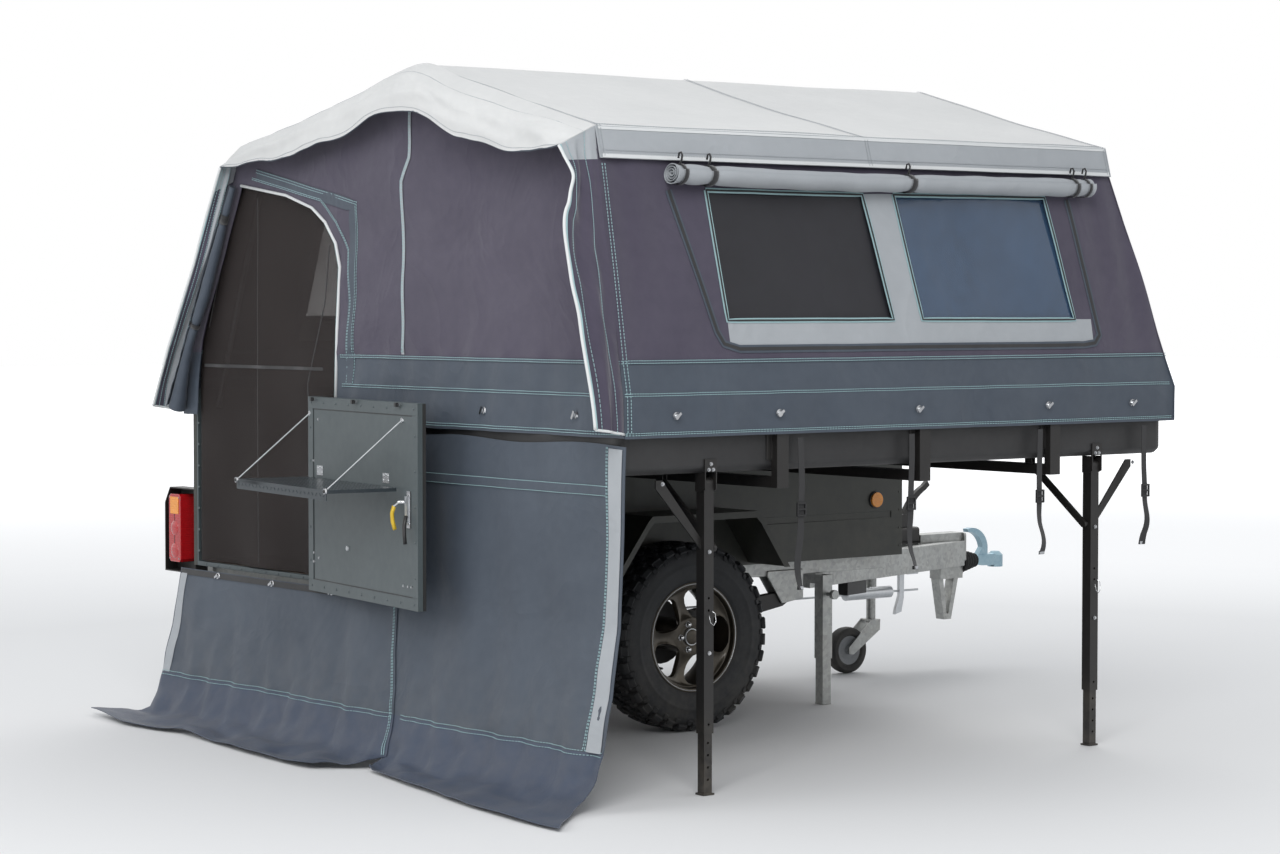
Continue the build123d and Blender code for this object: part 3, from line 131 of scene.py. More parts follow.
def startGroup(name, inputs, outputs):
    group = bpy.data.node_groups.new(name, "ShaderNodeTree")
    kinds = {"value": "NodeSocketFloat", "colour": "NodeSocketColor", "vector": "NodeSocketVector"}
    for socketName, kind, start in [("Vector", "vector", None), *inputs]:
        socket = group.interface.new_socket(name=socketName, in_out="INPUT", socket_type=kinds[kind])
        if start is not None:
            socket.default_value = start
    for socketName, kind in outputs:
        group.interface.new_socket(name=socketName, in_out="OUTPUT", socket_type=kinds[kind])
    return group, group.nodes.new("NodeGroupInput").outputs, group.nodes.new("NodeGroupOutput")


def mathNode(tree, operation, first, second, clamp=False):
    return addNode(tree, "Math", {0: first, 1: second}, operation=operation, use_clamp=clamp)[0]


def times(tree, first, second):
    return mathNode(tree, "MULTIPLY", first, second)


def noiseNode(tree, vector, scale, detail, roughness=0.5, distortion=0.0):
    return addNode(tree, "TexNoise", {"Vector": vector, "Scale": scale, "Detail": detail, "Roughness": roughness,
                                      "Distortion": distortion})["Fac"]


def mixColour(tree, share, first, second):
    return addNode(tree, "Mix", {"Factor": share, "A": first, "B": second}, data_type="RGBA")["Result"]


def rangeNode(tree, value, low, high, newLow, newHigh):
    return addNode(tree, "MapRange", {"Value": value, "From Min": low, "From Max": high, "To Min": newLow,
                                      "To Max": newHigh})["Result"]


def bumpNode(tree, height, strength, distance, below=None):
    values = {"Height": height, "Strength": strength, "Distance": distance}
    if below is not None:
        values["Normal"] = below
    return addNode(tree, "Bump", values)["Normal"]


groupSettings = {
    "weave": {"bands": 0.31831, "waver": 0.4, "slubSize": 0.12, "threadTone": 0.35},
    "mottle": {"finer": 11.0, "broad": 0.7, "fine": 0.3, "middle": 0.5},
    "crease": {"middle": 0.5, "soft": 0.6},
    "spangle": {"cells": 0.45, "cloud": 0.6, "cloudSize": 6.0},
    "dust": {"patchSize": 14.0, "patches": (0.38, 0.68)},
}


def buildWeave(settings):
    group, given, result = startGroup("plainWeave", [("Threads", "value", 900.0), ("Slubs", "value", 0.3)],
                                      [("Height", "value"), ("Tone", "value")])
    scale = times(group, given["Threads"], settings["bands"])
    waves = [addNode(group, "TexWave", {"Vector": given["Vector"], "Scale": scale, "Distortion": settings["waver"]},
                     bands_direction=direction)["Fac"] for direction in ("X", "Y")]
    threads = mathNode(group, "MAXIMUM", *waves)
    slub = noiseNode(group, given["Vector"], times(group, given["Threads"], settings["slubSize"]), 2.0)
    feed(group, result, {
        "Height": mathNode(group, "ADD", threads, times(group, slub, given["Slubs"])),
        "Tone": mathNode(group, "ADD", times(group, threads, settings["threadTone"]), slub),
    })
    return group


def buildMottle(settings):
    group, given, result = startGroup(
        "softMottle", [("Scale", "value", 3.0), ("Contrast", "value", 1.0), ("Dark", "colour", (0, 0, 0, 1)),
                       ("Light", "colour", (1, 1, 1, 1))], [("Colour", "colour"), ("Mask", "value")])
    broad = noiseNode(group, given["Vector"], given["Scale"], 4.0, 0.6)
    fine = noiseNode(group, given["Vector"], times(group, given["Scale"], settings["finer"]), 3.0)
    both = mathNode(group, "ADD", times(group, broad, settings["broad"]), times(group, fine, settings["fine"]))
    centred = times(group, mathNode(group, "SUBTRACT", both, settings["middle"]), given["Contrast"])
    mask = mathNode(group, "ADD", centred, settings["middle"], clamp=True)
    feed(group, result, {"Colour": mixColour(group, mask, given["Dark"], given["Light"]), "Mask": mask})
    return group


def buildCreases(settings):
    group, given, result = startGroup("clothCreases", [("Scale", "value", 2.5), ("Sharp", "value", 3.0)],
                                      [("Height", "value")])
    bent = noiseNode(group, given["Vector"], given["Scale"], 3.0, 0.55, 0.8)
    folded = mathNode(group, "ABSOLUTE", mathNode(group, "SUBTRACT", bent, settings["middle"]), 0.0)
    ridge = mathNode(group, "SUBTRACT", 1.0, times(group, folded, 2.0))
    sharp = mathNode(group, "POWER", ridge, given["Sharp"])
    feed(group, result, {"Height": mathNode(group, "ADD", sharp, times(group, bent, settings["soft"]))})
    return group


def buildSpangle(settings):
    group, given, result = startGroup(
        "zincSpangle", [("Flake", "value", 60.0), ("Dark", "colour", (0.3, 0.3, 0.3, 1)),
                        ("Light", "colour", (0.6, 0.6, 0.6, 1))], [("Colour", "colour"), ("Tone", "value")])
    cells = addNode(group, "TexVoronoi", {"Vector": given["Vector"], "Scale": given["Flake"]})["Color"]
    red = addNode(group, "SeparateColor", {"Color": cells})["Red"]
    cloud = noiseNode(group, given["Vector"], settings["cloudSize"], 4.0)
    tone = mathNode(group, "ADD", times(group, red, settings["cells"]), times(group, cloud, settings["cloud"]),
                    clamp=True)
    feed(group, result, {"Colour": mixColour(group, tone, given["Dark"], given["Light"]), "Tone": tone})
    return group


def buildGroundDust(settings):
    group, given, result = startGroup(
        "groundDust", [("Colour", "colour", (0, 0, 0, 1)), ("Dust", "colour", (0.3, 0.26, 0.2, 1)),
                       ("Top", "value", 0.5), ("Amount", "value", 0.5)], [("Colour", "colour"), ("Mask", "value")])
    height = addNode(group, "SeparateXYZ", {"Vector": given["Vector"]})["Z"]
    fall = mathNode(group, "SUBTRACT", 1.0, mathNode(group, "DIVIDE", height, given["Top"]), clamp=True)
    grain = noiseNode(group, given["Vector"], settings["patchSize"], 5.0, 0.65)
    patches = rangeNode(group, grain, *settings["patches"], 0.0, 1.0)
    mask = mathNode(group, "MULTIPLY", times(group, fall, patches), given["Amount"], clamp=True)
    feed(group, result, {"Colour": mixColour(group, mask, given["Colour"], given["Dust"]), "Mask": mask})
    return group


weaveGroup = buildWeave(groupSettings["weave"])
mottleGroup = buildMottle(groupSettings["mottle"])
creaseGroup = buildCreases(groupSettings["crease"])
spangleGroup = buildSpangle(groupSettings["spangle"])
dustGroup = buildGroundDust(groupSettings["dust"])


def placeGroup(tree, group, values):
    return addNode(tree, "Group", values, node_tree=group)


def mottled(tree, vector, scale, contrast, dark, light):
    return placeGroup(tree, mottleGroup, {"Vector": vector, "Scale": scale, "Contrast": contrast, "Dark": (*dark, 1),
                                          "Light": (*light, 1)})


def dusted(tree, vector, colour, top, amount):
    if not amount:
        return colour
    return placeGroup(tree, dustGroup, {"Vector": vector, "Colour": colour, "Top": top, "Amount": amount})["Colour"]


def startMaterial(name, settings):
    material = bpy.data.materials.new(name)
    material.use_nodes = True
    material.diffuse_color = (*settings["light"], 1)
    tree = material.node_tree
    shader = tree.nodes["Principled BSDF"]
    feed(tree, shader, settings.get("sockets", {}))
    return material, tree, shader, addNode(tree, "TexCoord", {})


# Cloth: canvas, mesh, webbing and binding

clothBase = {"mottle": 1.0, "patches": 2.2, "dust": 0.0, "dustTop": 0.42, "tone": (0.2, 1.1), "darker": 0.22,
             "creaseSize": 2.6, "creaseDeep": 0.012, "weaveBump": 0.25, "weaveDeep": 0.0006, "spread": 0.06}

clothSettings = {
    "roofCanvas": {"dark": (0.57, 0.575, 0.57), "light": (0.69, 0.69, 0.68), "threads": 1100, "crease": 0.15,
                   "rough": 0.86, "mottle": 1.6, "sockets": {"Sheen Weight": 0.15, "Specular IOR Level": 0.3}},
    "gableCanvas": {"dark": (0.054, 0.047, 0.072), "light": (0.088, 0.078, 0.11), "threads": 1100, "crease": 0.22,
                    "rough": 0.88, "mottle": 2.0, "sockets": {"Sheen Weight": 0.25, "Specular IOR Level": 0.25}},
    "slateCanvas": {"dark": (0.038, 0.05, 0.07), "light": (0.07, 0.088, 0.114), "threads": 700, "crease": 0.28,
                    "rough": 0.6, "mottle": 1.8, "dust": 0.12,
                    "sockets": {"Sheen Weight": 0.1, "Specular IOR Level": 0.45}},
    "flapCanvas": {"dark": (0.028, 0.042, 0.074), "light": (0.046, 0.064, 0.104), "threads": 700, "crease": 0.14,
                   "rough": 0.52, "mottle": 1.2, "dust": 0.1,
                   "sockets": {"Sheen Weight": 0.1, "Specular IOR Level": 0.45}},
    "greyTrim": {"dark": (0.33, 0.35, 0.37), "light": (0.43, 0.45, 0.47), "threads": 900, "crease": 0.3,
                 "rough": 0.8, "mottle": 1.2, "sockets": {"Specular IOR Level": 0.3}},
    "whitePiping": {"dark": (0.6, 0.62, 0.62), "light": (0.74, 0.75, 0.75), "threads": 1500, "crease": 0.1,
                    "rough": 0.7, "dust": 0.1, "sockets": {"Specular IOR Level": 0.35}},
    "sewingThread": {"dark": (0.25, 0.4, 0.42), "light": (0.42, 0.58, 0.6), "threads": 2500, "crease": 0.1,
                     "rough": 0.7, "sockets": {"Specular IOR Level": 0.35}},
    "blackWebbing": {"dark": (0.01, 0.01, 0.011), "light": (0.028, 0.028, 0.03), "threads": 500, "crease": 0.1,
                     "rough": 0.75, "sockets": {"Sheen Weight": 0.2}},
    "bedding": {"dark": (0.2, 0.22, 0.26), "light": (0.3, 0.32, 0.36), "threads": 800, "crease": 0.6, "rough": 0.9,
                "sockets": {"Sheen Weight": 0.3}},
}


def clothMaterial(name, given):
    settings = {**clothBase, **given}
    material, tree, shader, coords = startMaterial(name, settings)
    rough, spread = settings["rough"], settings["spread"]
    weave = placeGroup(tree, weaveGroup, {"Vector": coords["UV"], "Threads": settings["threads"]})
    colour = mottled(tree, coords["UV"], settings["patches"], settings["mottle"], settings["dark"], settings["light"])
    share = rangeNode(tree, weave["Tone"], *settings["tone"], settings["darker"], 0.0)
    toned = mixColour(tree, share, colour["Colour"], (*settings["dark"], 1))
    creases = placeGroup(tree, creaseGroup, {"Vector": coords["UV"], "Scale": settings["creaseSize"]})["Height"]
    broad = bumpNode(tree, creases, settings["crease"], settings["creaseDeep"])
    feed(tree, shader, {
        "Base Color": dusted(tree, coords["Object"], toned, settings["dustTop"], settings["dust"]),
        "Normal": bumpNode(tree, weave["Height"], settings["weaveBump"], settings["weaveDeep"], broad),
        "Roughness": rangeNode(tree, weave["Tone"], 0.2, 1.2, rough - spread, rough + spread),
    })
    return material


cloths = {name: clothMaterial(name, settings) for name, settings in clothSettings.items()}

insectMeshSettings = {"light": (0.033, 0.027, 0.026), "dark": (0.022, 0.017, 0.016), "hole": (0.62, 0.80),
                      "sockets": {"Roughness": 0.7, "Specular IOR Level": 0.25}}


def insectMaterial(name, settings):
    material, tree, shader, coords = startMaterial(name, settings)
    veil = noiseNode(tree, coords["UV"], 2.4, 4.0, 0.6)
    feed(tree, shader, {
        "Base Color": mottled(tree, coords["UV"], 3.0, 1.5, settings["dark"], settings["light"])["Colour"],
        "Alpha": rangeNode(tree, veil, 0.3, 0.7, *settings["hole"]),
    })
    return material


insectMesh = insectMaterial("insectMesh", insectMeshSettings)

filmSettings = {
    "blueFilm": {"light": (0.055, 0.105, 0.19), "sockets": {"Alpha": 0.80, "Roughness": 0.16, "Coat Weight": 0.4}},
    "shadeFilm": {"light": (0.018, 0.018, 0.024), "sockets": {"Alpha": 0.86, "Roughness": 0.55}},
    "clearFilm": {"light": (0.55, 0.60, 0.62), "sockets": {"Alpha": 0.22, "Roughness": 0.12, "Coat Weight": 0.4}},
}
filmDeep = 0.55


def filmMaterial(name, settings):
    material, tree, shader, coords = startMaterial(name, settings)
    deep = [filmDeep * tone for tone in settings["light"]]
    ripple = placeGroup(tree, creaseGroup, {"Vector": coords["UV"], "Scale": 1.8, "Sharp": 1.5})["Height"]
    feed(tree, shader, {
        "Base Color": mottled(tree, coords["UV"], 1.6, 2.2, deep, settings["light"])["Colour"],
        "Normal": bumpNode(tree, ripple, 0.35, 0.02),
    })
    return material


films = {name: filmMaterial(name, settings) for name, settings in filmSettings.items()}

# Metal, rubber, plastic and wood

hardBase = {"dust": 0.0, "dustTop": 0.3, "contrast": 1.8, "deep": 0.0008, "spread": (0.07, -0.06)}

hardSettings = {
    "boxPaint": {"dark": (0.016, 0.018, 0.015), "light": (0.03, 0.033, 0.028), "rough": 0.42, "grain": 900,
                 "bump": 0.12, "scale": 3, "dust": 0.15, "dustTop": 1.0,
                 "sockets": {"Metallic": 0.1, "Coat Weight": 0.15}},
    "doorPaint": {"dark": (0.062, 0.079, 0.084), "light": (0.086, 0.106, 0.111), "rough": 0.44, "grain": 1200,
                  "bump": 0.1, "scale": 3, "sockets": {"Metallic": 0.15, "Coat Weight": 0.1}},
    "platePaint": {"dark": (0.02, 0.028, 0.034), "light": (0.04, 0.052, 0.06), "rough": 0.34, "grain": 1200,
                   "bump": 0.1, "scale": 6, "sockets": {"Metallic": 0.3, "Coat Weight": 0.2}},
    "blackPaint": {"dark": (0.006, 0.005, 0.005), "light": (0.015, 0.014, 0.013), "rough": 0.46, "grain": 1500,
                   "bump": 0.15, "scale": 4, "dust": 0.2, "sockets": {"Coat Weight": 0.1}},
    "trayPaint": {"dark": (0.012, 0.012, 0.013), "light": (0.026, 0.026, 0.027), "rough": 0.5, "grain": 1200,
                  "bump": 0.15, "scale": 3, "sockets": {"Coat Weight": 0.05}},
    "zincPlate": {"dark": (0.42, 0.44, 0.46), "light": (0.66, 0.68, 0.7), "rough": 0.34, "grain": 700, "bump": 0.08,
                  "scale": 9, "sockets": {"Metallic": 0.9}},
    # The blue in this zinc's colour is a painted reflection of the sky
    "zincWithPaintedSkyReflection": {"dark": (0.2, 0.33, 0.42), "light": (0.42, 0.56, 0.62), "rough": 0.3, "grain": 700, "bump": 0.08,
                 "scale": 7, "sockets": {"Metallic": 0.85}},
    "chromeSteel": {"dark": (0.55, 0.56, 0.58), "light": (0.72, 0.73, 0.74), "rough": 0.16, "grain": 900,
                    "bump": 0.03, "scale": 20, "sockets": {"Metallic": 1.0}},
    "darkAlloy": {"dark": (0.022, 0.019, 0.015), "light": (0.075, 0.062, 0.044), "rough": 0.34, "grain": 900,
                  "bump": 0.06, "scale": 10, "dust": 0.12, "dustTop": 0.7,
                  "sockets": {"Metallic": 0.65, "Coat Weight": 0.35}},
    "tyreRubber": {"dark": (0.008, 0.009, 0.011), "light": (0.018, 0.02, 0.023), "rough": 0.66, "grain": 380,
                   "bump": 0.2, "scale": 7, "dust": 0.12, "dustTop": 0.5},
    "softRubber": {"dark": (0.01, 0.01, 0.01), "light": (0.022, 0.022, 0.022), "rough": 0.7, "grain": 500,
                   "bump": 0.15, "scale": 9, "dust": 0.1, "dustTop": 0.4},
    "blackPlastic": {"dark": (0.009, 0.009, 0.01), "light": (0.02, 0.02, 0.021), "rough": 0.4, "grain": 1100,
                     "bump": 0.1, "scale": 8},
    "yellowPlastic": {"dark": (0.55, 0.36, 0.02), "light": (0.68, 0.46, 0.03), "rough": 0.45, "grain": 900,
                      "bump": 0.05, "scale": 8},
    "greyHub": {"dark": (0.2, 0.21, 0.22), "light": (0.3, 0.31, 0.32), "rough": 0.55, "grain": 700, "bump": 0.08,
                "scale": 9, "dust": 0.1},
    "filmFacedPly": {"dark": (0.06, 0.03, 0.02), "light": (0.125, 0.062, 0.04), "rough": 0.36, "grain": 260,
                     "bump": 0.15, "scale": 2.5, "dust": 0.3, "dustTop": 2.0, "sockets": {"Coat Weight": 0.2}},
}


def hardMaterial(name, given):
    settings = {**hardBase, **given}
    material, tree, shader, coords = startMaterial(name, settings)
    vector, rough = coords["Object"], [settings["rough"] + more for more in settings["spread"]]
    mottle = mottled(tree, vector, settings["scale"], settings["contrast"], settings["dark"], settings["light"])
    grain = noiseNode(tree, vector, settings["grain"], 2.0)
    feed(tree, shader, {
        "Base Color": dusted(tree, vector, mottle["Colour"], settings["dustTop"], settings["dust"]),
        "Roughness": rangeNode(tree, mottle["Mask"], 0.0, 1.0, *rough),
        "Normal": bumpNode(tree, grain, settings["bump"], settings["deep"]),
    })
    return material


hard = {name: hardMaterial(name, settings) for name, settings in hardSettings.items()}

galvanSettings = {"light": (0.46, 0.47, 0.46), "dark": (0.27, 0.28, 0.28), "flake": 75.0, "rough": (0.56, 0.36),
                  "bump": 0.06, "deep": 0.001, "dust": 0.2, "dustTop": 0.9, "sockets": {"Metallic": 0.85}}


def galvanMaterial(name, settings):
    material, tree, shader, coords = startMaterial(name, settings)
    spangle = placeGroup(tree, spangleGroup, {
        "Vector": coords["Object"], "Flake": settings["flake"], "Dark": (*settings["dark"], 1),
        "Light": (*settings["light"], 1),
    })
    feed(tree, shader, {
        "Base Color": dusted(tree, coords["Object"], spangle["Colour"], settings["dustTop"], settings["dust"]),
        "Roughness": rangeNode(tree, spangle["Tone"], 0.0, 1.0, *settings["rough"]),
        "Normal": bumpNode(tree, spangle["Tone"], settings["bump"], settings["deep"]),
    })
    return material


galvanised = galvanMaterial("galvanised", galvanSettings)

lensSettings = {
    "redLens": {"light": (0.50, 0.010, 0.014), "sockets": {"Roughness": 0.12, "Coat Weight": 0.8}},
    "amberLens": {"light": (1.0, 0.36, 0.03), "sockets": {"Roughness": 0.12, "Coat Weight": 0.8}},
}
lensShade, lensRibs = 0.6, 220.0


def lensMaterial(name, settings):
    material, tree, shader, coords = startMaterial(name, settings)
    shade = [lensShade * tone for tone in settings["light"]]
    ribs = addNode(tree, "TexWave", {"Vector": coords["Object"], "Scale": lensRibs / math.pi / 2}, bands_direction="Z")
    feed(tree, shader, {
        "Base Color": mottled(tree, coords["Object"], 20.0, 1.4, shade, settings["light"])["Colour"],
        "Normal": bumpNode(tree, ribs["Fac"], 0.35, 0.0015),
    })
    return material


lenses = {name: lensMaterial(name, settings) for name, settings in lensSettings.items()}
print("materials built")

# Making and joining meshes


def meshObject(name, bm):
    mesh = bpy.data.meshes.new(name)
    bm.to_mesh(mesh)
    bm.free()
    return placeObject(name, mesh)


def keepPiece(name, bm, materials, body, replaced=()):
    piece = meshObject(name, bm)
    for material in materials:
        piece.data.materials.append(material)
    if body:  # a piece given no body is attached to none
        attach(piece, body)
    if replaced:
        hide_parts(*replaced)
    return piece


def clamped(value):
    return max(0.0, min(1.0, value))


def extent(low, high):
    return high[0] - low[0], high[1] - low[1]


def edgesOf(points):
    return zip(points, points[1:] + points[:1])


def facesOf(verts):
    return {face for vert in verts for face in vert.link_faces}


def clothArea(bm):
    return sum(face.calc_area() for face in bm.faces)


def allOutward(bm):
    bmesh.ops.recalc_face_normals(bm, faces=bm.faces)


def sharpEdges(bm, degrees):
    return [edge for edge in bm.edges if edge.is_manifold and edge.calc_face_angle(0) > math.radians(degrees)]


def bevelEdges(bm, edges, width, segments=1):
    bmesh.ops.bevel(bm, geom=edges, offset=width, segments=segments, profile=0.5, affect="EDGES", clamp_overlap=True)


def smoothShade(bm, degrees):
    for face in bm.faces:
        face.smooth = True
    for edge in sharpEdges(bm, degrees):
        edge.smooth = False


def cutPlane(bm, place, normal, **choices):
    bmesh.ops.bisect_plane(bm, geom=bm.verts[:] + bm.edges[:] + bm.faces[:], plane_co=place, plane_no=normal, **choices)


def flatCloth(low, high, cell=None, cells=None):
    bm = bmesh.new()
    size = extent(low, high)
    columns, rows = cells or [max(1, round(side / cell)) for side in size]
    bmesh.ops.create_grid(bm, x_segments=columns, y_segments=rows, size=0.5)
    for vert in bm.verts:
        vert.co = (low[0] + (vert.co.x + 0.5) * size[0], low[1] + (vert.co.y + 0.5) * size[1], 0)
    return bm


def cutLine(bm, start, end, clear=False):
    # With clear, what lies to the right of the line goes
    across = Vector((end[1] - start[1], start[0] - end[0], 0))
    cutPlane(bm, (*start, 0), across, dist=oneSpot, clear_outer=clear)


def cutOutline(bm, points):
    for start, end in edgesOf(points):
        cutLine(bm, start, end, clear=True)


def within(points, u, v):
    return all((b[0] - a[0]) * (v - a[1]) - (b[1] - a[1]) * (u - a[0]) > 0 for a, b in edgesOf(points))


def cutHole(bm, points):
    for start, end in edgesOf(points):
        cutLine(bm, start, end)
    gone = [face for face in bm.faces if within(points, *face.calc_center_median().xy)]
    bmesh.ops.delete(bm, geom=gone, context="FACES")


def layCloth(bm, shape, thick, pick=None, flat=(1, 1), sharp=55):
    # UV in metres, then the bend by shape(u, v), then the thickness; the area is that of the bent cloth
    layer = bm.loops.layers.uv.new("cloth")
    for face in bm.faces:
        if pick:
            face.material_index = pick(*face.calc_center_median().xy)
        for loop in face.loops:
            loop[layer].uv = (loop.vert.co.x * flat[0], loop.vert.co.y * flat[1])
    for vert in bm.verts:
        vert.co = shape(*vert.co.xy)
    area = clothArea(bm)
    allOutward(bm)
    bmesh.ops.solidify(bm, geom=bm.faces[:], thickness=thick)
    smoothShade(bm, sharp)
    return area


def surfaceNormal(shape, u, v):
    here, right, up = shape(u, v), shape(u + 0.004, v), shape(u, v + 0.004)
    return (right - here).cross(up - here).normalized()


def stations(path, step):
    # Points along a path, at most a step apart, with the direction there
    found = []
    for start, end in zip(path, path[1:]):
        start, end = Vector(start), Vector(end)
        count = max(1, math.ceil((end - start).length / step))
        for index in range(count):
            found.append((start.lerp(end, index / count), (end - start).normalized()))
    found.append((Vector(path[-1]), (Vector(path[-1]) - Vector(path[-2])).normalized()))
    for index in range(1, len(found) - 1):
        both = found[index][1] + found[index - 1][1]
        found[index] = (found[index][0], both.normalized())
    return found


def ribbonOn(bm, shape, path, width, lift, thick, index, step=0.03):
    # The path lies in the flat coordinates of the cloth
    layer = bm.loops.layers.uv.active
    places = stations(path, step)
    made = bmesh.ops.create_grid(bm, x_segments=len(places) - 1, y_segments=1, size=0.5)["verts"]
    faces = list(facesOf(made))
    for vert in made:
        place, way = places[round((vert.co.x + 0.5) * (len(places) - 1))]
        side = 1 if vert.co.y > 0 else -1
        flat = place + Vector((-way.y, way.x)) * side * width / 2
        vert.co = (flat.x, flat.y, 0)
    for face in faces:
        face.material_index = index
        for loop in face.loops:
            loop[layer].uv = loop.vert.co.xy
    for vert in made:
        u, v = vert.co.xy
        vert.co = shape(u, v) + surfaceNormal(shape, u, v) * lift
    bmesh.ops.recalc_face_normals(bm, faces=faces)
    bmesh.ops.solidify(bm, geom=faces, thickness=thick)


def stitchOn(bm, shape, path, lift, index, pitch=0.011, size=(0.007, 0.0022, 0.0016)):
    for place, way in stations(path, pitch)[:-1]:
        u, v = place
        normal = surfaceNormal(shape, u, v)
        ahead = (shape(u + way.x * 0.004, v + way.y * 0.004) - shape(u, v)).normalized()
        turn = Matrix((ahead, normal.cross(ahead), normal)).transposed().to_4x4()
        turn.translation = shape(u, v) + normal * lift
        made = bmesh.ops.create_cube(bm, size=1.0, matrix=turn @ Matrix.Diagonal((*size, 1)))["verts"]
        for face in facesOf(made):
            face.material_index = index


def seamOn(bm, shape, path, lift, index, double=0.012):
    for side in (-0.5, 0.5):
        moved = [(place.x - way.y * side * double, place.y + way.x * side * double)
                 for place, way in stations(path, noSplit)]
        stitchOn(bm, shape, moved, lift, index)


def dashesAlong(bm, row, index, wide=0.0018, share=0.7):
    for start, end in zip(row, row[1:]):
        size = (wide, wide, (end - start).length * share)
        addSolid(bm, "cube", start.lerp(end, 0.5), end - start, index, size=size)


def tubeAlong(bm, points, radius, sides=8, index=0, ends=True):
    before = turn = None
    for place, way in stations(points, noSplit):
        if turn is None:
            turn = way.to_track_quat("Z", "Y")
        else:
            turn = (turn @ Vector((0, 0, 1))).rotation_difference(way) @ turn
        matrix = Matrix.Translation(place) @ turn.to_matrix().to_4x4()
        ring = bmesh.ops.create_circle(bm, segments=sides, radius=radius, matrix=matrix)["verts"]
        if before is None:
            first = ring
        else:
            for corner in range(sides):
                after = (corner + 1) % sides
                face = bm.faces.new((before[corner], before[after], ring[after], ring[corner]))
                face.material_index = index
                face.smooth = True
        before = ring
    if ends:
        bm.faces.new(first[::-1]).material_index = index
        bm.faces.new(before).material_index = index


def addSolid(bm, kind, place, direction, index, spin=0.0, **sizes):
    # The base of a cone is at the place; a cube and a dome are centred on it
    turn = Vector(direction).to_track_quat("Z", "Y").to_matrix().to_4x4()
    matrix = Matrix.Translation(place) @ turn @ Matrix.Rotation(spin, 4, "Z")
    if kind == "cone":
        matrix = matrix @ Matrix.Translation((0, 0, sizes["depth"] / 2))
        made = bmesh.ops.create_cone(bm, cap_ends=True, segments=sizes.get("sides", 12), radius1=sizes["low"],
                                     radius2=sizes["high"], depth=sizes["depth"], matrix=matrix)["verts"]
    elif kind == "dome":
        matrix = matrix @ Matrix.Diagonal((sizes["radius"], sizes["radius"], sizes["height"], 1))
        made = bmesh.ops.create_uvsphere(bm, u_segments=sizes["sides"], v_segments=6, radius=1.0,
                                         matrix=matrix)["verts"]
    else:
        matrix = matrix @ Matrix.Diagonal((*sizes["size"], 1))
        made = bmesh.ops.create_cube(bm, size=1.0, matrix=matrix)["verts"]
    for face in facesOf(made):
        face.material_index = index
        face.smooth = kind == "dome"


def addDomes(bm, places, direction, index, radius, height, sides=12):
    for place in places:
        addSolid(bm, "dome", place, direction, index, radius=radius, height=height, sides=sides)


def addBolt(bm, place, direction, size, index, washer=True):
    direction = Vector(direction).normalized()
    place = Vector(place)
    if washer:
        addSolid(bm, "cone", place, direction, index, low=size * 1.05, high=size * 1.05, depth=size * 0.16, sides=16)
        place = place + direction * size * 0.16
    addSolid(bm, "cone", place, direction, index, low=size * 0.9, high=size * 0.82, depth=size * 0.62, sides=6)


def wrinkle(place, size, height):
    return height * noise.noise(Vector(place) / size)


def netThrough(bm, rows, index=0):
    # Faces through rows of places, each row as long as the first
    across = len(rows[0]) - 1
    made = bmesh.ops.create_grid(bm, x_segments=across, y_segments=len(rows) - 1, size=0.5)["verts"]
    for vert in made:
        vert.co = rows[round((vert.co.y + 0.5) * (len(rows) - 1))][round((vert.co.x + 0.5) * across)]
    for face in facesOf(made):
        face.material_index = index
        face.smooth = True
    return made


def bandThrough(bm, rows, thick, index):
    made = netThrough(bm, rows, index)
    bmesh.ops.solidify(bm, geom=list(facesOf(made)), thickness=thick)


def spunRing(bm, section, centre, side, steps, index=0):
    # The section holds (radius, distance outward) pairs and closes on itself; the axis runs along Y
    rows = []
    for step in range(steps + 1):
        turn = 2 * math.pi * step / steps
        rows.append([Vector((r * math.cos(turn), side * out, r * math.sin(turn))) + centre
                     for r, out in [*section, section[0]]])
    bmesh.ops.remove_doubles(bm, verts=netThrough(bm, rows, index), dist=oneSpot)


# Stage: a pale floor, soft lamps, and a white sky for the camera, metal and glass

stageSettings = {
    "floor": (0.80, 0.80, 0.80), "floorSize": 60, "below": -0.001, "fade": (4.5, 20.0), "aim": (-0.4, 0, 1.0),
    "floorSockets": {"Roughness": 0.8, "Specular IOR Level": 0.1, "Emission Color": (1, 1, 1, 1)},
    "sky": (0.90, 0.93, 0.97, 1), "skyLevel": 0.62,
    "key": {"place": (-6.5, -7.0, 6.5), "size": 5.0, "watts": 520},
    "fill": {"place": (-8.5, 1.5, 4.0), "size": 5.0, "watts": 150},
    "back": {"place": (5.0, 4.0, 7.0), "size": 6.0, "watts": 260},
}


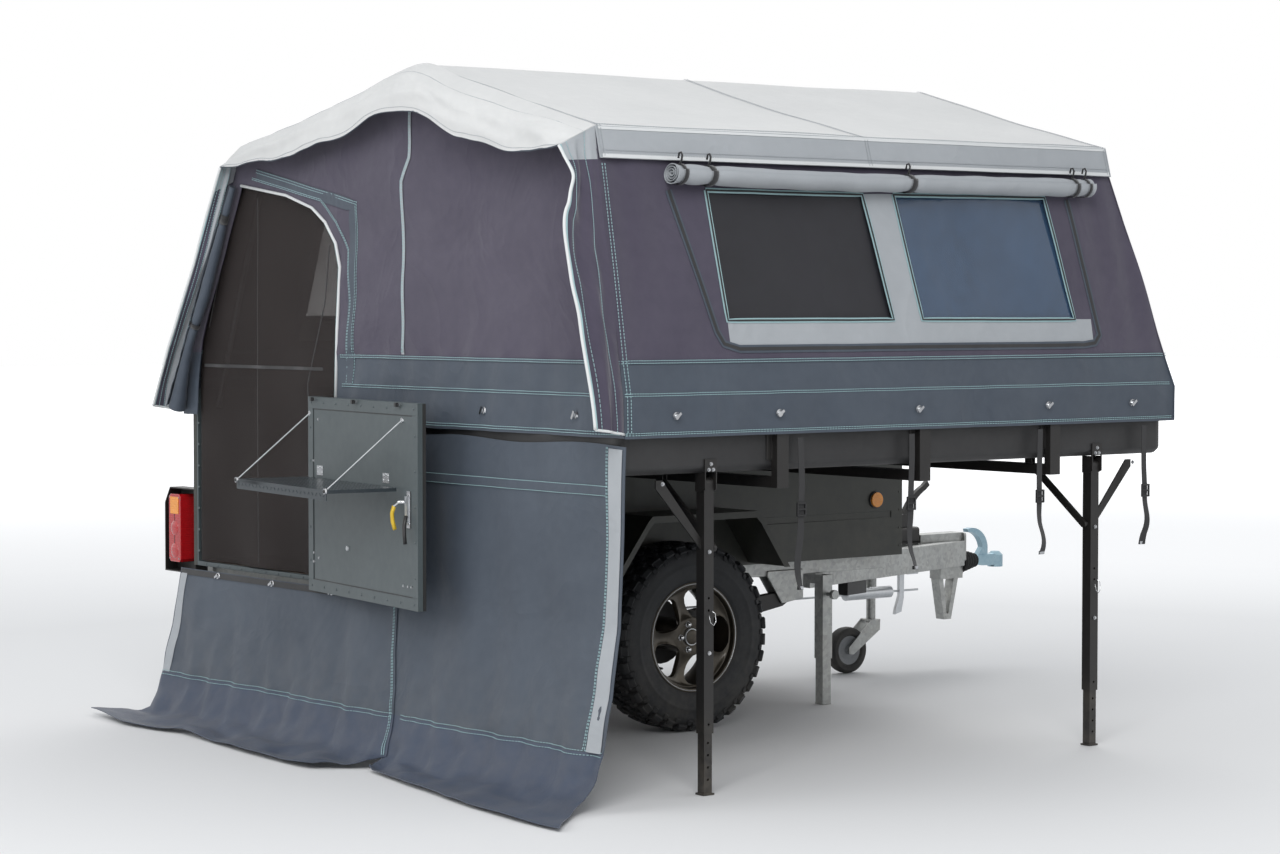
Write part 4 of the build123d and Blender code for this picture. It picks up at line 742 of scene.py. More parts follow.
def buildStage(settings):
    bm = bmesh.new()
    bmesh.ops.create_grid(bm, x_segments=1, y_segments=1, size=settings["floorSize"],
                          matrix=Matrix.Translation((0, 0, settings["below"])))
    floor = meshObject("floor", bm)
    material, tree, shader, coords = startMaterial("floor", {"light": settings["floor"],
                                                             "sockets": settings["floorSockets"]})
    far = addNode(tree, "VectorMath", {0: coords["Object"]}, operation="LENGTH")["Value"]
    seen = addNode(tree, "LightPath", {})["Is Camera Ray"]
    feed(tree, shader, {
        "Base Color": (*settings["floor"], 1),
        "Emission Strength": times(tree, seen, rangeNode(tree, far, *settings["fade"], 0.0, 1.0)),
    })
    floor.data.materials.append(material)
    for name in ("key", "fill", "back"):
        given = settings[name]
        data = bpy.data.lights.new(name, "AREA")
        data.energy, data.size = given["watts"], given["size"]
        placeObject(name, data, given["place"], Vector(settings["aim"]) - Vector(given["place"]))
    world = bpy.data.worlds.new("sky")
    world.use_nodes = True
    bpy.context.scene.world = world
    tree = world.node_tree
    ray = addNode(tree, "LightPath", {})
    seen = mathNode(tree, "MAXIMUM", ray["Is Glossy Ray"], ray["Is Transmission Ray"])
    seen = mathNode(tree, "MAXIMUM", ray["Is Camera Ray"], seen)
    feed(tree, tree.nodes["Background"], {
        "Color": mixColour(tree, seen, settings["sky"], (1, 1, 1, 1)),
        "Strength": rangeNode(tree, seen, 0.0, 1.0, settings["skyLevel"], 1.0),
    })


buildStage(stageSettings)
bpy.context.scene.view_settings.view_transform = "Standard"
print("stage built")

# Finishes of the CAD pieces that stay

finishes = {
    "boxPaint": ("side_panels", "front_panel", "fenders"),
    "galvanised": ("chassis_frame", "drawbar", "overrun_housing", "steady_sleeves", "steady_leg_right",
                   "steady_leg_left", "jockey_clamp", "jockey_fork", "tray_brackets", "lid_hinges"),
    "blackPaint": ("axle_beam_arms", "springs", "drawbar_cover", "handbrake", "tail_brackets", "hoop_brackets",
                   "roof_bars", "leg_brackets", "prop_leg_rear", "prop_leg_front", "leg_stay_rear",
                   "leg_stay_front"),
    "zincPlate": ("door_fittings", "brake_linkage", "hoop_left", "hoop_ridge", "hoop_right"),
    # The coupling head's blue is a painted reflection of the sky
    "zincWithPaintedSkyReflection": ("coupling_head",),
    "trayPaint": ("lid_tray",),
    "doorPaint": ("rear_door", "rear_frame", "door_hinges"),
    "platePaint": ("door_shelf",),
    "filmFacedPly": ("floor_panel",),
    "tyreRubber": ("tyre_left", "tyre_right"),
    "darkAlloy": ("rim_left", "rim_right"),
    "softRubber": ("bellows",),
    "greyHub": ("jockey_wheel",),
    "redLens": ("tail_lenses",),
    "amberLens": ("marker_lamps",),
    "blackWebbing": ("lid_straps",),
    "bedding": ("mattress",),
    "roofCanvas": ("tent_roof", "rear_hood", "blind_roll"),
    "gableCanvas": ("side_walls", "gable_rear", "gable_front", "door_roll"),
    "slateCanvas": ("rear_curtain",),
    "blueFilm": ("window_films",),
    "insectMesh": ("mesh_door",),
}
allFinishes = {**cloths, **films, **hard, **lenses, "galvanised": galvanised, "insectMesh": insectMesh}
for finish, nodeNames in finishes.items():
    for nodeName in nodeNames:
        node = frame["nodes"][nodeName]
        node.data.materials.clear()
        node.data.materials.append(allFinishes[finish])
print("CAD pieces finished")

# Canvas: every sheet is cut flat, bent to its place and sewn

trimMaterials = [cloths["sewingThread"], cloths["whitePiping"], cloths["blackWebbing"], hard["chromeSteel"],
                 cloths["slateCanvas"], cloths["greyTrim"]]
thread, piping, webbing, metal, slate, grey = range(6)


def keepCloth(name, bm, materials, replaced, flat, trim=None, trimName=None):
    trims = []
    if trim is not None:
        trims.append(keepPiece(trimName or f"{name}_trim", trim, trimMaterials, "box"))
    piece = keepPiece(name, bm, materials, "box", replaced)
    for part in (*trims, piece):
        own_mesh(part)


def startTrim():
    bm = bmesh.new()
    bm.loops.layers.uv.new("cloth")
    return bm


roofSettings = {
    "front": 0.655, "cell": 0.030, "thick": 0.003, "sag": 0.012, "creases": 0.004, "lift": 0.0026,
    "section": ((-1.3236, 2.0500), (-1.296, 2.152), (-0.325, 2.406), (0.910, 2.146), (0.9542, 2.0528)),
    "hems": (0.008, -0.004), "seams": (0.020, 0.014), "rafters": (0.012, -0.012, -0.52),
}


def alongSection(section, v):
    # Point and outward normal at a distance along an open section in (y, z)
    for start, end in zip(section, section[1:]):
        length = math.dist(start, end)
        if v <= length or end == section[-1]:
            share = v / length
            y, z = (a + (b - a) * share for a, b in zip(start, end))
            return y, z, (start[1] - end[1]) / length, (end[0] - start[0]) / length, share, length
        v -= length


def sectionMarks(section):
    marks = [0.0]
    for start, end in zip(section, section[1:]):
        marks.append(marks[-1] + math.dist(start, end))
    return marks


def roofShape(u, v):
    y, z, outY, outZ, share, length = alongSection(roofSettings["section"], v)
    sag = 0.0
    if length > 0.5:
        ends = math.sin(math.pi * clamped((u - tentRear) / (roofSettings["front"] - tentRear)))
        sag = roofSettings["sag"] * math.sin(math.pi * clamped(share)) * (0.35 + 0.65 * ends)
    push = wrinkle((u * 0.5, v, 0.3), 0.21, roofSettings["creases"]) - sag
    return Vector((u, y + outY * push, z + outZ * push))


def buildRoof(settings):
    marks, front, lift = sectionMarks(settings["section"]), settings["front"], settings["lift"]
    bm = flatCloth((tentRear, 0), (front, marks[-1]), settings["cell"])
    for mark in marks[1:-1]:
        cutLine(bm, (tentRear, mark), (front, mark))
    layCloth(bm, roofShape, settings["thick"], lambda u, v: 0 if marks[1] < v < marks[3] else 1)
    trim = startTrim()
    near, far = tentRear + 0.01, front - 0.01
    outer, inner = settings["hems"]
    for mark in (marks[0] + outer, marks[1] + inner, marks[3] - inner, marks[4] - outer):
        ribbonOn(trim, roofShape, ((near, mark), (far, mark)), 0.014, lift, 0.002, piping)
    outer, inner = settings["seams"]
    for mark in (marks[0] + outer, marks[1] + inner, marks[3] - inner, marks[4] - outer):
        seamOn(trim, roofShape, ((near, mark), (far, mark)), lift, grey)
    rear, fore, middle = settings["rafters"]
    for u in (tentRear + rear, front + fore, middle):
        row = [(u, mark) for mark in (marks[0] + 0.01, *marks[1:4], marks[4] - 0.01)]
        seamOn(trim, roofShape, row, lift, grey)
    keepCloth("roof", bm, [cloths["roofCanvas"], cloths["greyTrim"]], ("tent_roof",),
              (front - tentRear, marks[-1]),
              trim)


buildRoof(roofSettings)
print("roof sewn")

# Side walls: v is the height, u runs along the trailer

wallSettings = {
    "cell": 0.026, "thick": 0.003, "lift": 0.0026, "creases": 0.0045, "folds": 0.009, "top": 2.142,
    "windows": (((-1.243, 1.957), (-1.211, 1.535), (-0.483, 1.535), (-0.560, 1.957)),
                ((-0.418, 1.960), (-0.353, 1.535), (0.391, 1.533), (0.315, 1.966))),
    "greyParts": (((-1.211, 1.443), (0.476, 1.443), (0.476, 1.535), (-1.211, 1.535)),
                  ((-0.560, 1.960), (-0.483, 1.530), (-0.353, 1.530), (-0.418, 1.963))),
    "zip": ((-1.396, 1.954), (-1.262, 1.500), (-1.238, 1.460), (-1.175, 1.443), (0.420, 1.443), (0.480, 1.450),
            (0.507, 1.478), (0.425, 1.961)),
    "fasteners": (-1.462, -1.036, -0.412, 0.213, 0.638), "fastenersZ": 1.234,
}


def frontReach(v):
    if v <= bendZ:
        return hemFront
    return hemFront + (eaveFront - hemFront) * (v - bendZ) / (eaveZ - bendZ)


def wallShape(side):
    base, top = (rightWallY, (-1.286, 2.142)) if side < 0 else (leftWallY, (0.900, 2.136))
    slope = math.hypot(top[0] - base, top[1] - bendZ)
    outY, outZ = side * (top[1] - bendZ) / slope, abs(top[0] - base) / slope

    def shape(u, v):
        y, ny, nz = base, side, 0.0
        if v > bendZ:
            y, ny, nz = base + (top[0] - base) * ((v - bendZ) / (top[1] - bendZ)), outY, outZ
        ends = math.exp(-(u - tentRear) / 0.16) + math.exp((u - frontReach(v)) / 0.16)
        push = wrinkle((u * 2.2, v * 0.7, side), 0.24, wallSettings["creases"])
        push += wallSettings["folds"] * ends * math.sin(u * 47 + 2.0 * v) * 0.5
        if v < bendZ + 0.1:
            low = (bendZ + 0.1 - v) / 0.223
            push += 0.005 * low * math.sin(u * 19 + 1.7) + wrinkle((u, v, 5.0), 0.07, 0.004 * low)
        return Vector((u, y + ny * push, v + nz * push))

    return shape


def buildWall(side, settings):
    name, hoop, foot = ("right", "hoop_right", "lid_tray") if side < 0 else ("left", "hoop_left", "side_panels")
    shape, top, lift = wallShape(side), settings["top"], settings["lift"]
    bm = flatCloth((tentRear, hemZ), (hemFront, top), settings["cell"])
    cutOutline(bm, [(tentRear, hemZ), (hemFront, hemZ), (hemFront, bendZ), (frontReach(top), top), (tentRear, top)])
    for height in (bendZ, bandZ):
        cutLine(bm, (tentRear, height), (hemFront, height))
    for part in settings["greyParts"]:
        for start, end in edgesOf(part):
            cutLine(bm, start, end)
    for window in settings["windows"]:
        cutHole(bm, window)

    def pick(u, v):
        if v < bandZ:
            return 1
        return 2 if any(within(part, u, v) for part in settings["greyParts"]) else 0

    area = clothArea(bm)
    layCloth(bm, shape, settings["thick"], pick)
    trim = startTrim()
    band = ((tentRear + 0.01, bandZ), (frontReach(bandZ) - 0.01, bandZ))
    ribbonOn(trim, shape, band, 0.012, lift, 0.0015, slate)
    seamOn(trim, shape, band, lift + 0.0015, thread, 0.008)
    seamOn(trim, shape, ((tentRear + 0.01, 1.302), (hemFront - 0.02, 1.302)), lift, thread, 0.007)
    seamOn(trim, shape, ((tentRear + 0.01, hemZ + 0.012), (hemFront - 0.01, hemZ + 0.012)), lift, thread, 0.006)
    hem = ((tentRear + 0.004, hemZ + 0.003), (hemFront - 0.004, hemZ + 0.003))
    ribbonOn(trim, shape, hem, 0.010, lift, 0.002, slate)
    for window in settings["windows"]:
        loop = [*window, window[0]]
        ribbonOn(trim, shape, loop, 0.016, lift, 0.0018, thread if side < 0 else grey)
        ribbonOn(trim, shape, loop, 0.006, lift + 0.0018, 0.0014, webbing)
    if side < 0:
        ribbonOn(trim, shape, settings["zip"], 0.011, lift + 0.001, 0.003, webbing, 0.012)
        ribbonOn(trim, shape, settings["zip"], 0.026, lift, 0.0012, slate, 0.012)
    seamOn(trim, shape, ((tentRear + 0.02, hemZ + 0.02), (tentRear + 0.02, 2.04)), lift, thread)
    for u in settings["fasteners"]:
        place = shape(u, settings["fastenersZ"])
        normal = surfaceNormal(shape, u, settings["fastenersZ"]) * -side
        if normal.y * side < 0:
            normal = -normal
        for depth, low, high in ((0.004, 0.014, 0.013), (0.010, 0.007, 0.006)):
            addSolid(trim, "cone", place + normal * 0.002, normal, metal, low=low, high=high, depth=depth)
        addSolid(trim, "cube", place + normal * 0.014, normal, metal, size=(0.028, 0.009, 0.006), spin=0.7)
    keepCloth(f"wall_{name}", bm, [cloths["gableCanvas"], cloths["slateCanvas"], cloths["greyTrim"]],
              ("side_walls",), (hemFront - tentRear, top - hemZ), trim)


for side in (-1, 1):
    buildWall(side, wallSettings)
print("side walls sewn")

# Window films, behind the walls

filmPieceSettings = {"lap": (0.020, 0.012), "cell": 0.05, "thick": 0.0012, "behind": 0.008}


def buildFilms(settings):
    wide, tall = settings["lap"]
    for side, name, kinds in ((-1, "right", ("shadeFilm", "blueFilm")), (1, "left", ("clearFilm", "clearFilm"))):
        shape = wallShape(side)
        for number, window in enumerate(wallSettings["windows"]):
            low = (min(u for u, v in window) - wide, min(v for u, v in window) - tall)
            high = (max(u for u, v in window) + wide, max(v for u, v in window) + tall)
            bm = flatCloth(low, high, settings["cell"])
            area = clothArea(bm)

            def behind(u, v, shape=shape, side=side):
                bulge = 0.004 * math.sin(9 * u + 4) * math.sin(7 * v)
                return shape(u, v) + Vector((0, -side, 0)) * (bulge + settings["behind"])

            layCloth(bm, behind, settings["thick"])
            keepCloth(f"film_{name}_{number + 1}", bm, [films[kinds[number]]], ("window_films",),
                      extent(low, high))


buildFilms(filmPieceSettings)
print("window films laid")

# Rear gable with the doorway, and the front gable


def curveThrough(table, share):
    # A smooth place at a share, from 0 to 1, of a table of places
    spot = min(max(share, 0.0), 1.0) * (len(table) - 1)
    index = min(int(spot), len(table) - 2)
    ends = [Vector(table[min(max(index + step, 0), len(table) - 1)]) for step in (-1, 0, 1, 2)]
    t = spot - index
    return 0.5 * (2 * ends[1] + (ends[2] - ends[0]) * t + (2 * ends[0] - 5 * ends[1] + 4 * ends[2] - ends[3]) * t * t
                  + (3 * ends[1] - ends[0] - 3 * ends[2] + ends[3]) * t ** 3)


gableSettings = {
    "outline": [(rightWallY, hemZ), (leftWallY, hemZ), (leftWallY, bendZ), (0.900, 2.136), (-0.325, 2.3955),
                (-1.286, 2.142), (rightWallY, bendZ)],
    "doorway": [(0.244, 1.160), (1.225, 1.160), (1.216, 1.259), (1.184, 1.451), (0.881, 2.029), (0.560, 1.984),
                (0.383, 1.934), (0.290, 1.880), (0.230, 1.805), (0.202, 1.720), (0.219, 1.496)],
    "patch": ((0.770, 2.078), (0.086, 1.944), (0.094, 1.744), (0.129, 1.302)),
    "patchBand": ((0.770, 2.064), (0.110, 1.936), (0.118, 1.744), (0.150, 1.302)),
    "innerRow": ((0.800, 2.052), (0.330, 1.962), (0.216, 1.880), (0.150, 1.780), (0.138, 1.600), (0.168, 1.302)),
    "centre": ((-0.250, 2.330), (-0.250, 2.090), (-0.212, 2.010), (-0.200, 1.415)),
    "turnButtons": ((-0.68, 1.235), (-1.20, 1.235)), "rows": (bandZ, 1.301, 1.182),
    "cell": 0.028, "thick": 0.003, "lift": 0.0026, "creases": 0.007,
}


def rearGableShape(u, v):
    push = wrinkle((u + 0.6 * v, 1.8 * v, 1.0), 0.33, gableSettings["creases"])
    edge = max(0.0, 1.0 - abs(u - 0.20) / 0.5)
    push += 0.005 * edge * math.sin(26 * (v + 0.5 * u)) * clamped((v - 1.3) / 0.2)
    push += 0.012 * math.exp(-((u + 0.22) / 0.30) ** 2) * math.exp(-((v - 2.02) / 0.10) ** 2)
    if v < 1.42:
        push += 0.008 * (1.42 - v) / 0.25 * math.sin(15 * u + 1.2) + 0.004 * math.sin(37 * u + 9 * v)
    return Vector((tentRear - 0.001 - push, u, v))


def frontGableShape(u, v):
    push = wrinkle((u, v, 7.0), 0.30, gableSettings["creases"] * 0.7)
    reach = frontReach(v) if v <= eaveZ else eaveFront - 0.005 * (v - eaveZ) / 0.254
    return Vector((reach - 0.004 + push * 0.5, u, v))


def trimRearGable(trim, shape, settings):
    lift = settings["lift"]
    for row, width in ((settings["patch"], 0.010), (settings["innerRow"], 0.006)):
        seamOn(trim, shape, row, -lift, thread, width)
    ribbonOn(trim, shape, settings["patchBand"], 0.044, -lift * 0.8, 0.0010, slate)
    seamOn(trim, shape, settings["centre"], -lift * 1.6, thread, 0.009)
    ribbonOn(trim, shape, settings["centre"], 0.016, -lift, 0.0012, grey)
    edge = [shape(*point) for point in settings["doorway"][4:]] + [shape(0.238, 1.185)]
    tubeAlong(trim, [place + Vector((-0.003, 0, 0)) for place in edge], 0.0055, 8, piping)
    tubeAlong(trim, [place + Vector((-0.002, 0.008, 0.0)) for place in edge], 0.0030, 6, thread)
    for u, v in settings["turnButtons"]:
        place = shape(u, v) + Vector((-0.003, 0, 0))
        addSolid(trim, "cone", place, (-1, 0, 0), metal, low=0.014, high=0.012, depth=0.004)
        addSolid(trim, "cube", place + Vector((-0.009, 0, 0)), (-1, 0, 0), metal, size=(0.028, 0.009, 0.007), spin=1.1)


def buildGables(settings):
    for name, shape, reach, flip in (("rear", rearGableShape, 0.20, -1), ("front", frontGableShape, 1.29, 1)):
        bm = flatCloth((rightWallY, hemZ), (leftWallY, 2.3955), settings["cell"])
        cutOutline(bm, settings["outline"])
        cutLine(bm, (-1.5, bandZ), (1.4, bandZ))
        if name == "rear":
            cutHole(bm, settings["doorway"])
        area = clothArea(bm)
        layCloth(bm, shape, settings["thick"], lambda u, v: 1 if v < bandZ else 0)
        trim = startTrim()
        lift = settings["lift"] * flip
        ribbonOn(trim, shape, ((-1.42, bandZ), (reach, bandZ)), 0.012, lift, 0.0012, slate)
        for height in settings["rows"]:
            seamOn(trim, shape, ((-1.42, height), (reach, height)), lift * 1.5, thread, 0.008)
        if name == "rear":
            trimRearGable(trim, shape, settings)
        keepCloth(f"gable_{name}_cloth", bm, [cloths["gableCanvas"], cloths["slateCanvas"]],
                  (f"gable_{name}",), (2.757, 1.2285), trim, f"gable_{name}_trim")


buildGables(gableSettings)
print("gables sewn")

# Valance behind the roof, and the storm flaps at both sides of the rear gable

hoodSettings = {
    "roofEdge": [(tentRear, y, z) for y, z in (
        (0.910, 2.146), (0.598, 2.211), (0.287, 2.277), (-0.019, 2.342), (-0.325, 2.406), (-0.568, 2.342),
        (-0.811, 2.279), (-1.053, 2.215), (-1.296, 2.152))],
    "lip": ((-1.744, 0.915, 2.098), (-1.760, 0.600, 2.104), (-1.764, 0.300, 2.136), (-1.766, -0.010, 2.190),
            (-1.772, -0.350, 2.251), (-1.772, -0.590, 2.172), (-1.776, -0.830, 2.112), (-1.784, -1.070, 2.078),
            (-1.800, -1.276, 2.087)),
    "right": {"edge": ((-1.796, -1.457, 1.199), (-1.809, -1.413, 1.480), (-1.824, -1.378, 1.660),
                       (-1.832, -1.349, 1.836), (-1.804, -1.337, 1.914), (-1.780, -1.322, 1.998),
                       (-1.800, -1.276, 2.087)), "strip": (), "rows": (0.80, 0.30)},
    "left": {"edge": ((-1.794, 1.351, 1.200), (-1.786, 1.290, 1.340), (-1.778, 1.228, 1.471), (-1.765, 1.160, 1.614),
                      (-1.753, 1.095, 1.754), (-1.746, 1.020, 1.920), (-1.744, 0.915, 2.098)), "strip": (0.42, 0.62),
             "rows": (0.40, 0.64, 0.80)},
    "cell": 0.0125, "flapCell": 0.03, "thick": 0.003, "flapZ": (1.180, 2.136), "head": 0.905, "sharp": 60,
}


def valanceShape(u, v):
    top, lip = curveThrough(hoodSettings["roofEdge"], u), curveThrough(hoodSettings["lip"], u)
    bulge = math.sin(math.pi * v)
    fold = wrinkle((u * 3.4, v * 1.1, 2.0), 0.24, 0.016) + wrinkle((u * 9 + v, v * 2.0, 4.0), 0.30, 0.007)
    place = top.lerp(lip, v)
    loose = min(1.0, u / 0.06, (1 - u) / 0.06)
    reach = 0.045 * bulge * (1 - 0.35 * v) + fold * min(1.0, v * 1.6) * (1.15 - 0.75 * v)
    rise = 0.022 * bulge + fold * 0.5 * v - 0.006 * math.sin(u * 40) * v
    return place + Vector((-reach, 0, rise)) * max(0.0, loose)


def flapShape(side, edge):
    wall = wallShape(side)
    low, high = hoodSettings["flapZ"]
    corner = Vector(hoodSettings["roofEdge"][-1 if side < 0 else 0])

    def shape(u, v):
        inner = wall(tentRear + 0.002, low + (high - low) * u)
        place = inner.lerp(corner, clamped((u - 0.94) / 0.06)).lerp(curveThrough(edge, u), v)
        belly = math.sin(math.pi * v)
        fold = 0.016 * belly * math.sin(5.0 * u + 1.0) + 0.008 * math.sin(11 * v + 7 * u) * belly
        fold += wrinkle((u * 1.2, v * 0.8, 8.0 + side), 0.14, 0.008) * min(1, 3 * v)
        return place + Vector((0.25 * fold, side * fold, 0.0)) * clamped((1 - u) / 0.07)

    return shape


def buildValance(settings):
    bm = flatCloth((0, 0), (1, 1), settings["cell"])
    area = layCloth(bm, valanceShape, settings["thick"], flat=(2.28, 0.22), sharp=settings["sharp"])
    trim = startTrim()
    tubeAlong(trim, [valanceShape(step / 90, 1.0) for step in range(91)], 0.0032, 6, slate)
    for v in (0.30, 0.95):
        dashesAlong(trim, [valanceShape(step / 200, v) + Vector((-0.0035, 0, 0.001)) for step in range(201)], grey)
    keepCloth("valance", bm, [cloths["roofCanvas"]], ("rear_hood",), (2.28, 0.24),
              trim)


def buildFlap(side, name, settings):
    given, head = settings[name], settings["head"]
    shape, strip = flapShape(side, given["edge"]), given["strip"]
    bm = flatCloth((0, 0), (1, 1), settings["flapCell"])
    cutLine(bm, (head, -1), (head, 2))
    for v in strip:
        cutLine(bm, (-1, v), (2, v))

    def pick(u, v):
        if strip and strip[0] < v < strip[1]:
            return 2
        return 0 if u > head else 1

    area = layCloth(bm, shape, settings["thick"], pick, (0.97, 0.14), settings["sharp"])
    trim = startTrim()
    tubeAlong(trim, [shape(step / 60, 1.0) for step in range(61)], 0.0052, 8, piping)
    tubeAlong(trim, [shape(step / 60, 0.955) for step in range(61)], 0.0036, 6, thread)
    tubeAlong(trim, [shape(0.0, step / 10) for step in range(11)], 0.0045, 6, piping)
    for v in given["rows"]:
        dashesAlong(trim, [shape(step / 110, v) + Vector((-0.002, -0.003, 0)) for step in range(111)], thread)
    keepCloth(f"storm_flap_{name}", bm, [cloths["greyTrim"], cloths["gableCanvas"], cloths["greyTrim"]],
              ("rear_hood",), (0.97, 0.15), trim)


buildValance(hoodSettings)
for side, name in ((-1, "right"), (1, "left")):
    buildFlap(side, name, hoodSettings)
print("hood sewn")

# Insect mesh in the doorway

meshSettings = {
    "outline": [(0.330, 0.606), (1.228, 0.606), (1.232, 1.300), (1.210, 1.451), (0.905, 2.045), (0.560, 2.000),
                (0.370, 1.955), (0.265, 1.895), (0.205, 1.815), (0.180, 1.720), (0.196, 1.496)],
    "tapes": ((((0.44, 0.62), (0.44, 1.30), (0.33, 1.60), (0.30, 1.80)), 0.005), (((0.80, 0.62), (0.80, 1.98)), 0.003),
              (((0.35, 1.355), (1.20, 1.355)), 0.012), (((1.03, 1.985), (1.03, 1.80), (1.16, 1.50)), 0.004)),
    "x": -1.6555, "cell": 0.03, "thick": 0.0012, "lift": -0.0016,
}


def meshDoorShape(u, v):
    low = clamped((1.25 - v) / 0.55)
    push = 0.004 * math.sin(21 * u + 1.3 * v) + wrinkle((u * 2.0, v * 0.6, 3.0), 0.20, 0.006)
    inward = 0.030 * low * (0.5 + 0.5 * math.sin(13 * u + 0.5)) if 0.40 < u < 1.19 else 0.0
    return Vector((meshSettings["x"] + push * (1 - low * 0.6) + inward, u, v))


def buildMeshDoor(settings):
    low, high = ([end(point[axis] for point in settings["outline"]) for axis in (0, 1)] for end in (min, max))
    bm = flatCloth(low, high, settings["cell"])
    cutOutline(bm, settings["outline"])
    area = clothArea(bm)
    layCloth(bm, meshDoorShape, settings["thick"])
    trim = startTrim()
    for row, width in settings["tapes"]:
        ribbonOn(trim, meshDoorShape, row, width, settings["lift"], 0.0012, webbing)
    keepCloth("mesh_curtain", bm, [insectMesh], ("mesh_door",), extent(low, high),
              trim, "mesh_door_trim")


buildMeshDoor(meshSettings)
print("mesh hung")

# Rolled door flap and rolled window blind: spirals of cloth with straps

rollSettings = {
    "rolled_door_flap": {
        "ends": ((-1.700, 0.905, 2.025), (-1.712, 1.090, 1.640), (-1.722, 1.205, 1.420), (-1.722, 1.300, 1.190)),
        "radii": (0.018, 0.030, 0.024, 0.046), "turns": 3.2, "ties": (0.12, 0.52), "cells": (80, 90), "pinch": 0.30,
        "cloth": "slateCanvas", "node": "door_roll", "flat": (0.93, 0.52), "rests": "gable_rear"},
    "rolled_blind": {
        "ends": ((-1.409, -1.352, 2.008), (-0.770, -1.356, 1.999), (-0.110, -1.350, 2.002), (0.507, -1.352, 2.006)),
        "radii": (0.044, 0.041, 0.041, 0.044), "turns": 4.0, "ties": (0.03, 0.105, 0.53, 0.93, 0.975),
        "cells": (130, 104), "pinch": 0.16, "cloth": "greyTrim", "node": "blind_roll", "flat": (1.92, 0.52),
        "rests": "wall_right",
        "loop": ((0.010, -0.006), (0.026, -0.010), (0.036, -0.004), (0.034, 0.006), (0.018, 0.010))},
}
rollThick, rollSharp = 0.0022, 60


def rollShape(settings):
    def shape(u, v):
        centre = curveThrough(settings["ends"], u)
        way = (curveThrough(settings["ends"], u + 0.01) - curveThrough(settings["ends"], u - 0.01)).normalized()
        side = way.cross(Vector((-1, 0.1, 0.3))).normalized()
        up = side.cross(way).normalized()
        radius = curveThrough([(value, 0, 0) for value in settings["radii"]], u).x
        for tie in settings["ties"]:
            radius *= 1 - settings["pinch"] * math.exp(-((u - tie) / 0.018) ** 2)
        turn = 2 * math.pi * settings["turns"] * v
        reach = radius * (0.12 + 0.88 * v) * (1 + wrinkle((u * 9, turn * 0.30, 1.0), 0.5, 0.13 * v))
        return centre + side * math.cos(turn) * reach + up * math.sin(turn) * reach * 0.86

    return shape


def buildRoll(name, settings):
    shape, flat = rollShape(settings), settings["flat"]
    bm = flatCloth((0, 0), (1, 1), cells=settings["cells"])
    area = layCloth(bm, shape, rollThick, flat=flat, sharp=rollSharp)
    trim = startTrim()
    for tie in settings["ties"]:
        rings = []
        for offset in (-0.011, 0.011):
            ring = [shape(tie + offset / flat[0], 1 - (1 / settings["turns"]) * (1 - step / 32)) for step in range(33)]
            centre = sum(ring, Vector()) / len(ring)
            rings.append([centre + (place - centre) * 1.07 + (place - centre).normalized() * 0.003 for place in ring])
        bandThrough(trim, rings, 0.002, webbing)
        if "loop" in settings:
            crest = [max(ring, key=lambda place: place.z) for ring in rings]
            middle = crest[0].lerp(crest[1], 0.5)
            loop = [middle, *(middle + Vector((0, back, rise)) for rise, back in settings["loop"])]
            tubeAlong(trim, loop, 0.0035, 6, webbing)
    keepCloth(name, bm, [cloths[settings["cloth"]]], (settings["node"],), flat,
              trim, f"{name}_ties")


for name, settings in rollSettings.items():
    buildRoll(name, settings)
print("rolls tied")

# Rear curtain: u runs across the trailer, v runs down the cloth and then out over the ground

curtainSettings = {
    "line": ((-1.6685, 1.143), (-1.674, 0.860), (-1.683, 0.566), (-1.722, 0.360), (-1.766, 0.180), (-1.820, 0.014)),
    "ground": 0.24, "thick": 0.003, "cell": 0.022, "lift": 0.0028, "bend": 0.13,
    "buttons": (1.039, 0.646, 0.234),
    "reach": ((-1.449, 0.262), (-1.30, 0.255), (-0.909, 0.185), (-0.455, 0.105), (-0.33, 0.075), (-0.25, 0.150),
              (-0.092, 0.205), (0.273, 0.190), (0.851, 0.128), (1.129, 0.180), (1.330, 0.120)),
}


def tableAt(table, spot):
    for (start, low), (end, high) in zip(table, table[1:]):
        if spot <= end:
            return low + (high - low) * max(0.0, (spot - start) / (end - start))
    return table[-1][1]


curtainMarks = sectionMarks(curtainSettings["line"])
curtainFoot = curtainMarks[-1]


def hangAt(down):
    line = curtainSettings["line"]
    spot = next(index for index in range(1, len(line)) if down <= curtainMarks[index] + 1e-9)
    share = (down - curtainMarks[spot - 1]) / (curtainMarks[spot] - curtainMarks[spot - 1])
    return [a + (b - a) * share for a, b in zip(line[spot - 1], line[spot])]


